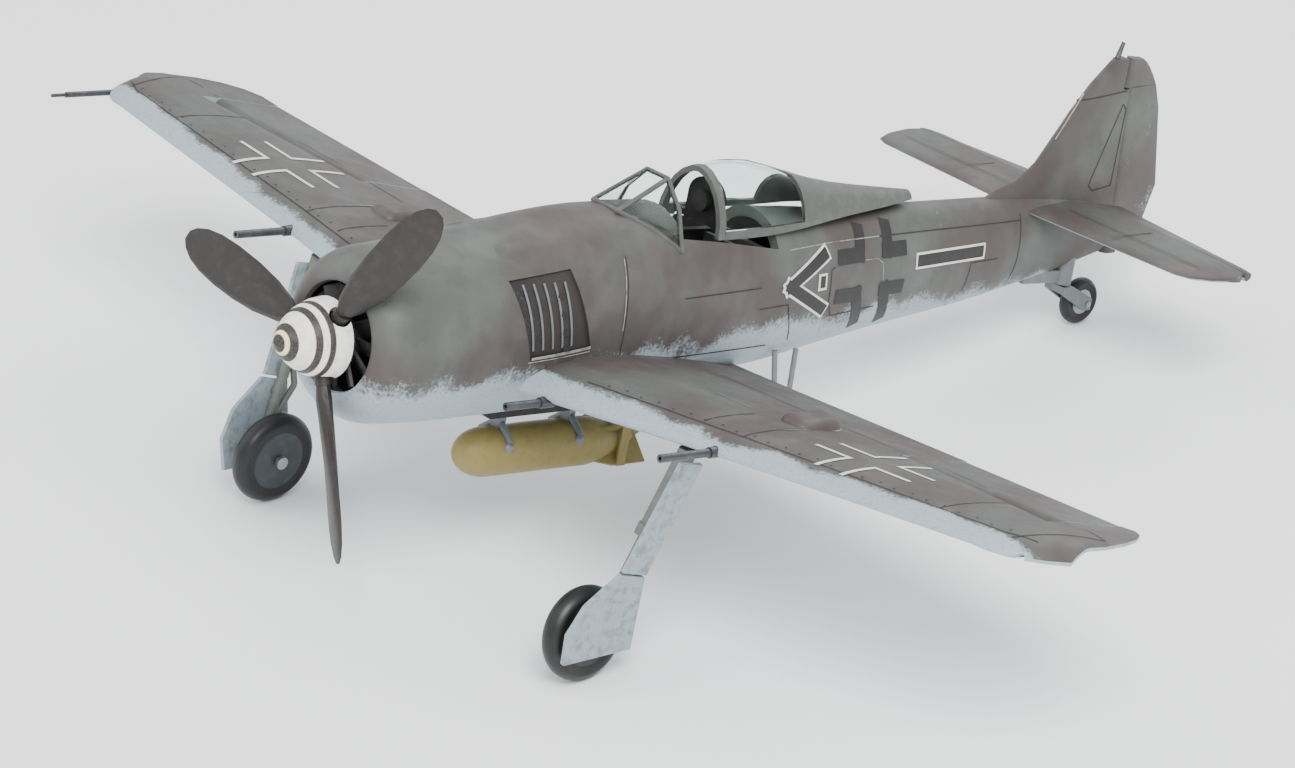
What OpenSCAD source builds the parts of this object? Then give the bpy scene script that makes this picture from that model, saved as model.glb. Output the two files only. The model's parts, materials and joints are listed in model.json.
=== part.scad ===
// Single-engine propeller aircraft, 1:72 display model standing on its wheels.
// Flight axes: x to port, y aft from the spinner tip, z up from the thrust line.
// The finished model is tilted nose-up until its three tyres touch z = 0.

/* [Overall] */
// Wing span, tip to tip
wing_span = 143.3; // [130:0.1:165]
// Thrust-line distance from spinner tip to rudder hinge
tail_y = 117.1; // [108:0.1:130]
// Thickness of the moulded skins
wall = 1.1; // [0.8:0.05:1.4]
// Running clearance of a pin in its hole, on the radius
pin_fit = 0.05; // [0.02:0.01:0.09]
// Gap left round everything that swings
swing_gap = 0.18; // [0.12:0.02:0.3]

/* [Propeller] */
// Radius of the propeller disc
prop_r = 21.9; // [18:0.1:26]
// Widest chord of a blade
blade_chord = 4.6; // [3.5:0.1:5.5]
// Distance of the blade axes behind the spinner tip
blade_y = 5.75; // [5:0.05:6]
// Turn of the first blade from the port side
blade_phase = 51.9; // [0:0.1:120]
// Length of the spinner
spinner_len = 6.65; // [5.5:0.05:7]
// Radius of the spinner at its back edge
spinner_r = 4.05; // [3.4:0.05:4.4]
// Radius of the propeller shaft
shaft_r = 0.9; // [0.6:0.05:1.2]
// Number of cooling fan blades
fan_blades = 12; // [8:1:14]

/* [Cowling] */
// Radius of the air opening in the cowl ring
inlet_r = 5.4; // [4.9:0.05:5.8]
// Radius of the cowl ring at its seam
ring_r = 8.82; // [8.2:0.02:9]
// Distance of the lip of the cowl ring behind the spinner tip
lip_y = 7.4; // [7:0.05:8]
// Distance of the ring seam behind the spinner tip
ring_y = 12; // [11.5:0.1:13]
// Distance of the back edge of the cowling behind the spinner tip
cowl_end = 22.8; // [21.5:0.1:24]
// Distance of the seam in front of the windscreen
deck_y = 38.9; // [37:0.1:40]

/* [Cockpit and hood] */
// Half width of the cockpit opening
cockpit_w = 4.75; // [4.2:0.05:5]
// Travel of the sliding hood, from open to closed
hood_travel = 5.0; // [3:0.1:5.6]
// Height of the hood bow's top above the thrust line
bow_top = 14.95; // [14:0.05:16]
// Thickness of the clear parts
glass = 0.4; // [0.3:0.05:0.6]

/* [Wing] */
// Length of the rounded wing tip
tip_len = 7.0; // [4:0.1:9]
// Wing thickness at the root, as a share of the chord
root_t = 0.145; // [0.12:0.005:0.16]
// Wing thickness at the tip, as a share of the chord
tip_t = 0.10; // [0.08:0.005:0.12]
// Distance of an aileron's inner end from the centre line
aileron_in = 41.7; // [38:0.1:46]
// Chord of the ailerons
aileron_chord = 8.4; // [6:0.1:9.5]

/* [Tail] */
// Half span of the tailplane
tail_half = 25.2; // [21:0.1:28]
// Height of the tailplane above the thrust line
tail_z = 7.5; // [6.6:0.05:8]
// Chord of the elevators
elevator_chord = 4.2; // [3.4:0.1:5]
// Height of the fin's top above the thrust line
fin_top = 24.0; // [21:0.1:27]

/* [Undercarriage] */
// Radius of a main tyre
tyre_r = 4.85; // [4.4:0.05:5.2]
// Width of a main tyre
tyre_w = 2.5; // [2:0.05:3]
// Half of the main wheel track
track_half = 24.3; // [22:0.1:27]
// Depth of the main wheel centres below the thrust line
axle_drop = 23.15; // [21:0.05:25]
// Distance of the main wheel centres behind the spinner tip
axle_y = 24.2; // [22:0.1:27]
// Lean of the main wheels, tops inwards
camber = 4; // [0:0.5:8]
// Radius of the tail tyre
tail_tyre_r = 2.64; // [2.2:0.02:3]
// Width of the tail tyre
tail_tyre_w = 1.5; // [1.2:0.05:1.8]
// Radius of the axle pins
axle_r = 0.45; // [0.35:0.05:0.6]

/* [Store] */
// Radius of the bomb
bomb_r = 2.55; // [2:0.05:3]
// Length of the bomb with its fins
bomb_len = 24.4; // [22:0.1:28]

/* [Hidden] */
$fn = 48;
EPS = 0.01;

// ---------- places worked out from the driving sizes ----------
half_span = wing_span / 2;
tip_x = half_span - tip_len;
tail_wheel = [0, tail_y - 1.3, -4.03];
tyre_round = tyre_w * 0.52;
main_drop = (tyre_r - tyre_round) * cos(camber) + tyre_round;
gear_dy = tail_wheel[1] - axle_y;
gear_dz = tail_wheel[2] + axle_drop;
sit_angle = atan(gear_dz / gear_dy) + asin((main_drop - tail_tyre_r) / norm([gear_dy, gear_dz]));
rudder_te = tail_y + 7.3;
rudder_te_z = 9.0;
model_len = rudder_te * cos(sit_angle) + rudder_te_z * sin(sit_angle);
ground = axle_drop * cos(sit_angle) + axle_y * sin(sit_angle) + main_drop;

// Tilts the model from flight axes onto its wheels, centred over the origin
module stand() {
  translate([0, -model_len / 2, ground]) rotate([-sit_angle, 0, 0]) children();
}
module both_sides() {
  children();
  mirror([1, 0, 0]) children();
}
// Draws its children as one smooth moulding
module moulding() {
  resize([0, 0, 0]) children();
}

// ---------- curves and skins ----------
function mix(a, b, t) = a + (b - a) * t;
function clamp(v, a, b) = max(a, min(b, v));
function slope(tab, i, c) =
  let(a = max(i - 1, 0), b = min(i + 1, len(tab) - 1))
  (tab[b][c] - tab[a][c]) / (tab[b][0] - tab[a][0]);
// Smooth value of column c of a table whose first column is the place
function along(tab, place, c) =
  let(
    p = clamp(place, tab[0][0], tab[len(tab) - 1][0]),
    i = max([for (j = [0:len(tab) - 2]) tab[j][0] <= p ? j : 0]),
    h = tab[i + 1][0] - tab[i][0],
    t = (p - tab[i][0]) / h)
  (2 * pow(t, 3) - 3 * t * t + 1) * tab[i][c] + (pow(t, 3) - 2 * t * t + t) * h * slope(tab, i, c)
  + (3 * t * t - 2 * pow(t, 3)) * tab[i + 1][c] + (pow(t, 3) - t * t) * h * slope(tab, i + 1, c);
function add(v, i = 0) = i == len(v) - 1 ? v[i] : v[i] + add(v, i + 1);
function facing(loop) =
  add([for (i = [1:len(loop) - 2]) cross(loop[i] - loop[0], loop[i + 1] - loop[0])]);
function reversed(loop) = [for (i = [len(loop) - 1:-1:0]) loop[i]];
// Solid between equal loops of points; each end is closed by a ladder of quads
module skin(loops) {
  n = len(loops[0]);
  onward = add(loops[len(loops) - 1]) - add(loops[0]);
  rings = facing(loops[0]) * onward > 0 ? [for (r = loops) reversed(r)] : loops;
  last = (len(rings) - 1) * n;
  sides = [for (r = [0:len(rings) - 2], i = [0:n - 1])
    let(a = r * n + i, b = r * n + (i + 1) % n)
    each [[a, b, b + n], [a, b + n, a + n]]];
  start = [for (i = [0:n / 2 - 2]) each [[i, n - 1 - i, n - 2 - i], [i, n - 2 - i, i + 1]]];
  end = [for (i = [0:n / 2 - 2])
    each [[last + i, last + i + 1, last + n - 2 - i], [last + i, last + n - 2 - i, last + n - 1 - i]]];
  polyhedron([for (r = rings) each r], concat(sides, start, end));
}

// ---------- fuselage ----------
// Station, half width, top, bottom, height of the widest point, fullness above, fullness below
aft = tail_y - 63.9;
STATIONS = [
  [12, 8.82, 8.82, -8.82, 0, 2, 2],
  [16.7, 9.08, 9.2, -9.08, 0, 2, 2],
  [20.6, 9.12, 9.6, -9.1, 0, 2, 2],
  [29.2, 8.85, 10.7, -8.9, 0, 2.1, 2.1],
  [33.3, 8.4, 11.2, -8.7, 0, 2.15, 2.15],
  [38.3, 7.75, 11.5, -8.4, 0.2, 2.25, 2.2],
  [47.2, 7.0, 11.3, -8.0, 0.5, 2.3, 2.2],
  [55.6, 6.5, 10.5, -7.4, 0.8, 2.3, 2.2],
  [63.9, 5.9, 9.75, -6.7, 1.0, 2.2, 2.2],
  [63.9 + aft * 0.16, 5.2, 9.35, -5.5, 1.5, 2.1, 2.1],
  [63.9 + aft * 0.36, 4.3, 9.1, -4.1, 2.2, 2, 2],
  [63.9 + aft * 0.57, 3.35, 9.0, -2.8, 2.9, 2, 2],
  [63.9 + aft * 0.73, 2.6, 8.9, -1.35, 3.5, 2, 2],
  [63.9 + aft * 0.86, 2.0, 8.6, -0.1, 4.3, 2, 2],
  [tail_y, 1.35, 8.2, 1.67, 5, 2, 2]];
function hull_point(y, a, inset) =
  let(
    s = [for (c = [0:6]) along(STATIONS, y, c)],
    up = sin(a) >= 0,
    n = up ? s[5] : s[6],
    h = (up ? s[2] - s[4] : s[4] - s[3]) - inset)
  [(s[1] - inset) * sign(cos(a)) * pow(abs(cos(a)), 2 / n), y,
    s[4] + h * sign(sin(a)) * pow(abs(sin(a)), 2 / n)];
function hull_arc(y, from, to, steps, inset) =
  [for (i = [0:steps]) hull_point(y, mix(from, to, i / steps), inset)];

// ---------- lifting surfaces ----------
function foil_half(u) =
  5 * (0.2969 * sqrt(u) - 0.126 * u - 0.3516 * u * u + 0.2843 * pow(u, 3) - 0.1036 * pow(u, 4));
function spaced(i, n) = (1 - cos(180 * i / n)) / 2;
// Half span place, leading edge y and z, trailing edge y and z
WING = [
  [4, 24.9, -4.2, 59.0, -5.6],
  [10.4, 25.7, -3.61, 58.2, -5.0],
  [32.6, 28.5, -1.67, 55.75, -2.8],
  [tip_x, 30.4, 1.45, 52.0, 0.4]];
function wing_le(x) = [along(WING, x, 1), along(WING, x, 2)];
function wing_te(x) = [along(WING, x, 3), along(WING, x, 4)];
function tip_share(x) = x <= tip_x ? 0 : (x - tip_x) / tip_len;
// Shrinks the chord towards the rounded tip
function tip_round(x) = sqrt(max(1 - pow(tip_share(x), 2), 0.04));
function wing_point(x, u, face) =
  let(
    le0 = wing_le(x),
    te0 = wing_te(x),
    k = tip_round(x),
    rise = tip_share(x) * tip_len * 0.19 * sin(180 * min(u, 0.5)),
    le = mix(mix(le0, te0, 0.38), le0, k),
    te = mix(mix(le0, te0, 0.38), te0, k),
    c = te[0] - le[0],
    t = mix(root_t, tip_t, clamp((x - 5) / (tip_x - 5), 0, 1)) * (0.35 + 0.65 * k),
    thick = max(t * foil_half(u) * c, 0.17),
    bow = 0.018 * c * sin(180 * sqrt(u)))
  [x, mix(le[0], te[0], u), mix(le[1], te[1], u) + rise + bow + face * thick];
WING_X = concat([4, 8, 12, 18, 25, 32.6, 41, 50, 58, tip_x],
  [for (i = [1:6]) tip_x + tip_len * sin(90 * i / 6)]);
function wing_face(x, n, face, back) = [for (i = [0:n]) wing_point(x, spaced(back ? n - i : i, n), face)];
// The port wing panel in one piece
module wing_panel() {
  skin([for (x = WING_X) concat(wing_face(x, 12, 1, false), wing_face(x, 12, -1, true))]);
}
// Upper moulding of the port wing, down to the split line
module wing_top_skin() {
  skin([for (x = WING_X) concat(wing_face(x, 12, 1, false), wing_face(x, 12, 0, true))]);
}
function aileron_hinge(x) =
  let(te = wing_te(x), le = wing_le(x), u = 1 - aileron_chord / (te[0] - le[0]))
  wing_point(x, u, 0);
function aileron_nose(x) =
  let(te = wing_te(x), le = wing_le(x), u = 1 - aileron_chord / (te[0] - le[0]))
  (wing_point(x, u, 1)[2] - wing_point(x, u, -1)[2]) / 2;
aileron_out = tip_x - 0.6;
gun_r = 0.42;
gun_collar = 0.56;
root_gun_drop = 0.65;
root_gun_x = 11.5;
wing_gun_x = 32.65;
pitot_x = 69.2;
pitot_r = 0.32;
seat_depth = 1.2;
// Rod between two points
module rod(a, b, r, r_end) {
  d = b - a;
  translate(a) rotate([0, acos(d[2] / norm(d)), atan2(d[1], d[0])])
    cylinder(h = norm(d), r1 = r, r2 = is_undef(r_end) ? r : r_end);
}
// Rounded bar between two points, for small frames
module bar(a, b, r) {
  hull() {
    translate(a) sphere(r = r, $fn = 8);
    translate(b) sphere(r = r, $fn = 8);
  }
}
module along_y(y0, y1, r, r_end) {
  translate([0, y0, 0]) rotate([-90, 0, 0])
    cylinder(h = y1 - y0, r1 = r, r2 = is_undef(r_end) ? r : r_end);
}
module turned(points) {
  rotate([-90, 0, 0]) rotate_extrude() polygon(points);
}
// Upright plate with an outline in y and z, centred on x
module plate_yz(x, w, points) {
  translate([x - w / 2, 0, 0]) rotate([90, 0, 90]) linear_extrude(w) polygon(points);
}
// Body with a round nose on a hinge line: nose radius and trailing point at each ring
module flap(rings) {
  m = 8;
  skin([for (g = rings) let(h = g[0], r = g[1], t = g[2], d = atan2(t[2] - h[2], t[1] - h[1]))
    concat(
      [for (i = [0:m]) let(a = d + 90 + 180 * i / m) h + r * [0, cos(a), sin(a)]],
      [t + [0, 0, -0.09], t + [0, 0, 0.09], h + [0, 1.2 * r * cos(d), 1.2 * r * sin(d) + r * 0.93]])]);
}
// Room in which a flap swings: round its nose, and everything behind its hinge line
module flap_room(h0, r0, h1, r1) {
  hull() {
    translate(h0) sphere(r = r0 + swing_gap, $fn = 16);
    translate(h1) sphere(r = r1 + swing_gap, $fn = 16);
  }
  hull() for (p = [h0, h1], z = [-4, 4]) translate([p[0], p[1] + 9, p[2] + z])
    cube([0.02, 18, 0.02], center = true);
}

// ---------- places of the hinges and wheels ----------
axle_dir = [cos(camber), 0, sin(camber)];
wheel_at = [track_half, axle_y, -axle_drop];
function on_axle(d) = wheel_at + d * axle_dir;
rudder_lean = 0.08;
rudder_step = 20.7;
function rudder_hinge(z) = [0, tail_y - rudder_lean * (z - 13.9), z];
function rudder_nose(z) = mix(0.95, 0.68, clamp((z - 2) / 19, 0, 1));
RUDDER_TE = [[1.6, 117.9 - tail_y], [3.0, 121.5 - tail_y], [5.0, 123.4 - tail_y], [rudder_te_z, 7.3],
  [13.3, 6.2], [18, 5.0], [20.5, 3.9],
  [fin_top - 1.2, 2.1], [fin_top - 0.3, 1.0], [fin_top, 0.2]];
elevator_y = tail_y - 4.6;
elevator_in = 2.3;
elevator_nose = 0.62;
tail_tip = tail_half - 3.2;
function tail_le(x) = elevator_y - 10 + 0.06 * x;
function tail_te(x) = elevator_y + elevator_chord + 0.3 - 0.115 * x;
castor = [0, 112.2 - 117.1 + tail_y, 0];

// ---------- fuselage pieces ----------
GRID = [for (s = STATIONS) s[0]];
function levels(y0, y1) = concat([y0],
  [for (i = [0:len(GRID) - 2], t = [0, 0.5]) let(y = mix(GRID[i], GRID[i + 1], t))
    if (y > y0 + 0.2 && y < y1 - 0.2) y], [y1]);
module hull_block(y0, y1, inset) {
  skin([for (y = levels(y0, y1)) hull_arc(y, -180, 170, 35, inset)]);
}
FIN_LE = [[7, 93], [9.6, 98], [10.7, 101.5], [12.6, 103.75], [15.4, 105.7], [21.1, 109.9], [24, 113]];
function fin_le(z) = along(FIN_LE, z, 1) - 117.1 + tail_y;
function fin_ring(z) =
  let(le = fin_le(z), te = rudder_hinge(z)[1], w = rudder_nose(z))
  concat([for (u = [0.003, 0.02, 0.08, 0.2, 0.4, 0.65, 0.85, 1])
      [w * min(1, 1.75 * sqrt(u) - 0.75 * u), mix(le, te, u), z]],
    [for (u = [1, 0.85, 0.65, 0.4, 0.2, 0.08, 0.02, 0]) [0, mix(le, te, u), z]]);
module fin_half(side) {
  zs = [6, 8, 9.6, 10.7, 12.6, 15.4, 18.2, 21.1, fin_top - 0.5, fin_top];
  mirror([side < 0 ? 1 : 0, 0, 0]) skin([for (z = zs) fin_ring(z)]);
}
module rudder_room() {
  hull() for (z = [0, 30]) translate(rudder_hinge(z))
    cylinder(r = rudder_nose(z) + swing_gap, h = 0.1, center = true);
  plate_yz(0, 8, [[rudder_hinge(-2)[1], -2], [rudder_hinge(-2)[1] + 9, -2],
    [tail_y + 12, 30], [rudder_hinge(30)[1], 30]]);
  translate([-3, 115.0 - 117.1 + tail_y, rudder_step - swing_gap]) cube([6, 12, 8]);
}
// Space of the wing, cut from what it passes through
module wing_space(side) {
  mirror([side < 0 ? 1 : 0, 0, 0]) wing_panel();
}
cowl_edge = [
  [-1, -20], [cowl_end + 2.6, -20], [cowl_end + 2.6, -0.8], [cowl_end, 7], [cowl_end, 20], [-1, 20]];
EXHAUST = [[cowl_end + 0.2, 6.9], [cowl_end + 2.7, -0.8], [34.1, -0.4], [31.1, 7.6]];
sill_y0 = 47.7;
sill_y1 = 61.8;
module fuselage_half(side) {
  moulding() difference() {
    union() {
      intersection() {
        difference() {
          hull_block(cowl_end, tail_y, 0);
          hull_block(cowl_end - EPS, 112, wall);
        }
        translate([side > 0 ? 0 : -20, 0, -20]) cube([20, 200, 40]);
      }
      fin_half(side);
    }
    plate_yz(0, 30, cowl_edge);
    gun_cover_space(cowl_end - 1, deck_y);
    plate_yz(side * 10, 10, EXHAUST);
    wing_space(side);
    translate([-cockpit_w, sill_y0, 5.5]) cube([2 * cockpit_w, sill_y1 - sill_y0, 12]);
    rudder_room();
    tail_space();
    translate([0, castor[1], -3]) cylinder(r = 1.15, h = 6);
  }
}
function gun_seam(y) = 7.25 + 1.05 * (y - cowl_end + 1) / (deck_y - cowl_end + 1);
module gun_cover_space(front, back) {
  plate_yz(0, 30, [[front, gun_seam(front)], [back, gun_seam(back)], [back, 20], [front, 20]]);
}
// Room for the tailplanes' spar where it passes through the fin root
module tail_space() {
  translate([-8, elevator_y - 8, tail_z - 0.45]) cube([16, 6, 0.9]);
}
module fuselage_port() { color([0.36, 0.35, 0.34]) stand() fuselage_half(1); }
module fuselage_starboard() { color([0.36, 0.35, 0.34]) stand() fuselage_half(-1); }
module engine_cowl() {
  color([0.34, 0.33, 0.33]) stand() moulding() intersection() {
    difference() {
      hull_block(ring_y, cowl_end + 3, 0);
      hull_block(ring_y - 2, cowl_end + 4, wall);
    }
    plate_yz(0, 30, cowl_edge);
  }
}
module cowl_ring() {
  a = ring_r - inlet_r - 0.45;
  color([0.33, 0.32, 0.33]) stand() turned(concat(
    [for (t = [0:9:90]) [ring_r - a + a * sin(t), ring_y - (ring_y - lip_y) * cos(t)]],
    [[ring_r - wall, ring_y], [ring_r - wall - 0.2, ring_y - 1.5], [inlet_r + 0.9, lip_y + 1.6],
     [inlet_r, lip_y + 0.7], [inlet_r + 0.12, lip_y + 0.2]]));
}
module gun_cover() {
  color([0.36, 0.35, 0.34]) stand() moulding() intersection() {
    union() {
      difference() {
        hull_block(cowl_end - 1, deck_y, 0);
        hull_block(cowl_end - 2, deck_y + 1, wall);
      }
      for (x = [-3.2, 3.2]) hull() {
        translate([x, cowl_end + 1.6, 7.7]) sphere(r = 1.9, $fn = 14);
        translate([x * 0.9, deck_y - 2.4, 8.7]) sphere(r = 1.6, $fn = 14);
      }
    }
    gun_cover_space(cowl_end, deck_y + 1);
  }
}
module exhaust_panel(side) {
  moulding() difference() {
    intersection() {
      difference() {
        hull_block(cowl_end, 36, 0.25);
        hull_block(cowl_end - 1, 37, wall + 0.2);
      }
      plate_yz(side * 10, 10, EXHAUST);
    }
  }
  for (i = [0:3]) {
    z = 5.2 - 1.75 * i;
    bar_x = side * (hull_point(30, asin(clamp(z / 10.7, 0, 1)), 0.5)[0]);
    translate([bar_x, 29.4 + 0.33 * (5.2 - z) / 1.75, z]) rotate([0, 90, side > 0 ? -4 : 4])
      cylinder(r = 0.38, h = 0.9, center = true);
  }
}
module exhaust_port() { color([0.1, 0.1, 0.1]) stand() exhaust_panel(1); }
module exhaust_starboard() { color([0.1, 0.1, 0.1]) stand() exhaust_panel(-1); }
bearing_y = 14.2;
bearing_len = 1.6;
module engine_front() {
  color([0.25, 0.25, 0.26]) stand() {
    moulding() difference() {
      hull_block(bearing_y, bearing_y + bearing_len, wall);
      along_y(0, 30, 2.6);
    }
    difference() {
      along_y(bearing_y - 1.2, bearing_y + bearing_len, 2.6);
      along_y(0, 30, shaft_r + pin_fit);
    }
    for (i = [0:6]) rotate([0, i * 360 / 7, 0]) difference() {
      translate([0, bearing_y - 1.15, 2.9]) cylinder(r = 1.25, h = 4);
      along_y(0, bearing_y - 3, 9);
    }
  }
}

// ---------- cockpit ----------
tub_y0 = 46.2;
tub_y1 = 61.2;
tub_floor = 0.6;
module cockpit_tub() {
  color([0.3, 0.33, 0.3]) stand() moulding() intersection() {
    difference() {
      hull_block(tub_y0, tub_y1, wall);
      difference() {
        hull_block(tub_y0 + 0.8, tub_y1 - 0.8, wall + 0.7);
        translate([-10, 40, -10]) cube([20, 30, 10 + tub_floor + 0.8]);
      }
    }
    translate([-10, 40, tub_floor]) cube([20, 30, 6.2]);
  }
}
module seat() {
  color([0.28, 0.3, 0.28]) stand() {
    translate([-1.9, 54, tub_floor + 0.8]) cube([3.8, 3.4, 1.6]);
    difference() {
      translate([-1.9, 56.9, tub_floor + 0.8]) rotate([-6, 0, 0]) cube([3.8, 0.7, 5.6]);
      translate([-3, 50, -1]) cube([6, 12, tub_floor + 1.8]);
    }
  }
}
module instrument_panel() {
  color([0.15, 0.15, 0.16]) stand() difference() {
    translate([-3.3, tub_y0 + 0.8, 3]) cube([6.6, 0.7, 5.2]);
    for (x = [-2.2, -0.75, 0.75, 2.2], z = [4.2, 5.7, 7.2])
      translate([x, tub_y0 + 1.8, z]) rotate([90, 0, 0]) cylinder(r = 0.55, h = 0.5, $fn = 24);
  }
}
module gunsight() {
  color([0.12, 0.12, 0.12]) stand() {
    translate([0.2, tub_y0 + 0.8, 8.2]) cube([1.2, 1.5, 1.0]);
    translate([0.8, tub_y0 + 1.95, 9.1]) rotate([35, 0, 0]) translate([-0.5, -0.08, 0]) cube([1, 0.16, 1.2]);
  }
}
module control_stick() {
  color([0.12, 0.12, 0.12]) stand() {
    translate([0, 51.2, tub_floor + 0.8]) cylinder(r = 0.3, h = 3.6);
    translate([0, 51.2, tub_floor + 4.4]) cylinder(r = 0.45, h = 1.3);
  }
}
pane_low = [1.86, 40.7, 11.45];
pane_top = [1.55, 47.1, bow_top - 0.55];
bow_foot = [5.45, 47.05, 8.0];
bow_mid = [3.9, 47.1, 11.9];
module screen_bars(r) {
  both_sides() {
    bar(pane_low, pane_top, r);
    bar(pane_top, bow_mid, r);
    bar(bow_mid, bow_foot, r);
    bar(pane_low, [3.9, 43.7, 10.1], r);
    bar([3.9, 43.7, 10.1], bow_foot, r);
    bar(pane_top, pane_top - [pane_top[0], 0, 0], r);
    bar(pane_low, pane_low - [pane_low[0], 0, 0], r);
  }
}
module windscreen_frame() {
  color([0.3, 0.32, 0.3]) stand() moulding() difference() {
    screen_bars(0.29);
    hull_block(36, 52, 0);
    translate([-10, 47.45, 0]) cube([20, 5, 20]);
  }
}
module pane(a, b, c, t) {
  hull() for (p = [a, b, c]) translate(p) sphere(r = t, $fn = 8);
}
module windscreen_glass() {
  color([0.75, 0.85, 0.88, 0.4]) stand() moulding() difference() {
    both_sides() {
      pane(pane_low, pane_top, pane_top - [pane_top[0], 0, 0], glass / 2);
      pane(pane_low, pane_low - [pane_low[0], 0, 0], pane_top - [pane_top[0], 0, 0], glass / 2);
      pane(pane_low, pane_top, bow_mid, glass / 2);
      pane(pane_low, bow_mid, bow_foot, glass / 2);
      pane(pane_low, [3.9, 43.7, 10.1], bow_foot, glass / 2);
    }
    screen_bars(0.29);
    hull_block(36, 52, 0);
  }
}
// Sliding hood: station, half width, top, lower edge
HOOD = [
  [52.8, 4.7, bow_top, 8.55],
  [58.3, 4.65, bow_top + 0.45, 8.5],
  [63.9, 4.3, bow_top - 0.75, 8.75],
  [67.5, 3.8, bow_top - 1.75, 9.0],
  [73, 3.0, bow_top - 2.9, 9.4],
  [79, 2.1, bow_top - 3.7, 9.65],
  [84.5, 0.9, bow_top - 4.3, 9.8]];
function hood_point(y, a, inset) =
  let(s = [for (c = [0:3]) along(HOOD, y, c)])
  [(s[1] - inset) * sign(cos(a)) * pow(abs(cos(a)), 2 / 1.85), y,
    s[3] + (s[2] - s[3] - inset) * pow(abs(sin(a)), 2 / 1.85)];
function hood_arc(y, from, to, inset) =
  [for (i = [0:12]) hood_point(y, mix(from, to, i / 12), inset)];
module hood_part(ys, from, to, thick) {
  skin([for (y = ys) concat(hood_arc(y, from, to, 0), hood_arc(y, to, from, thick))]);
}
hood_front = sill_y0 + 0.1 + hood_travel;
glass_end = 65.6;
GLASS_Y = [for (i = [0:4]) mix(hood_front + 0.9, glass_end, i / 4)];
module hood_frame() {
  color([0.3, 0.32, 0.3]) stand() {
    hood_part([hood_front, hood_front + 0.9], 0, 180, 0.6);
    hood_part(GLASS_Y, 0, 9, 0.6);
    hood_part(GLASS_Y, 171, 180, 0.6);
  }
}
module hood_glass() {
  color([0.75, 0.85, 0.88, 0.4]) stand() hood_part(GLASS_Y, 9, 171, glass);
}
module hood_fairing() {
  color([0.3, 0.32, 0.3]) stand()
    hood_part([glass_end, 67.5, 70, 73, 76, 79, 82, 84.5], 0, 180, 0.55);
}
armour_y = 54.8;
module head_armour() {
  w = along(HOOD, armour_y, 1) - 0.74;
  color([0.1, 0.1, 0.1]) stand() {
    translate([0, armour_y, 9.4]) rotate([90, 0, 0]) linear_extrude(0.6, center = true)
      polygon(concat([for (a = [0:15:180]) [2.5 * cos(a), 2.2 + 2.0 * sin(a)]], [[-2.5, 0], [2.5, 0]]));
    translate([-w, armour_y - 0.3, 8.75]) cube([2 * w, 0.6, 0.65]);
    translate([0, armour_y - 0.3, 11.2]) rotate([90, 0, 0]) cylinder(r = 1.1, h = 0.7);
  }
}

// ---------- wing pieces ----------
module aileron_cut(side) {
  mirror([side < 0 ? 1 : 0, 0, 0]) intersection() {
    flap_room(aileron_hinge(30), aileron_nose(30), aileron_hinge(72), aileron_nose(72));
    translate([aileron_in - swing_gap, 30, -10])
      cube([aileron_out - aileron_in + 2 * swing_gap, 40, 20]);
  }
}
module wheel_well() {
  translate([0, 0, -4.9]) rotate([0, -5, 0]) translate([0, 0, -8.5]) linear_extrude(8) {
    translate([12.5, 33]) circle(r = tyre_r + 0.6);
    translate([12, 29.6]) square([18.6, 3.4]);
  }
}
module wing_lower() {
  color([0.55, 0.62, 0.66]) stand() moulding() difference() {
    union() {
      both_sides() difference() {
        wing_panel();
        wing_top_skin();
      }
      translate([-4.3, 32, -5.4]) cube([8.6, 18, 1]);
    }
    both_sides() wheel_well();
    both_sides() {
      aileron_cut(1);
      gun_sockets();
      leg_socket();
    }
  }
}
module wing_upper(side) {
  moulding() difference() {
    mirror([side < 0 ? 1 : 0, 0, 0]) difference() {
      wing_top_skin();
      gun_sockets();
      leg_socket();
    }
    aileron_cut(side);
  }
}
module wing_upper_port() { color([0.36, 0.35, 0.34]) stand() wing_upper(1); }
module wing_upper_starboard() { color([0.36, 0.35, 0.34]) stand() wing_upper(-1); }
module aileron() {
  xs = [aileron_in, mix(aileron_in, aileron_out, 0.5), aileron_out];
  flap([for (x = xs) [aileron_hinge(x), aileron_nose(x), wing_point(x, 1, 0)]]);
}
module aileron_port() { color([0.36, 0.35, 0.34]) stand() aileron(); }
module aileron_starboard() { color([0.36, 0.35, 0.34]) stand() mirror([1, 0, 0]) aileron(); }
// Places itself on the wing's leading edge, pointing aft
module at_edge(x, drop) {
  translate(wing_point(x, 0, 0) - [0, 0, drop]) rotate([-90, 0, 0]) children();
}
module gun(x, len, drop) {
  at_edge(x, drop) difference() {
    union() {
      translate([0, 0, -len]) cylinder(r = gun_r, h = len + seat_depth);
      translate([0, 0, -0.6]) cylinder(r = gun_collar, h = 0.6 + seat_depth);
    }
    translate([0, 0, -len - EPS]) cylinder(r = gun_r * 0.5, h = 1.2);
  }
}
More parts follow.
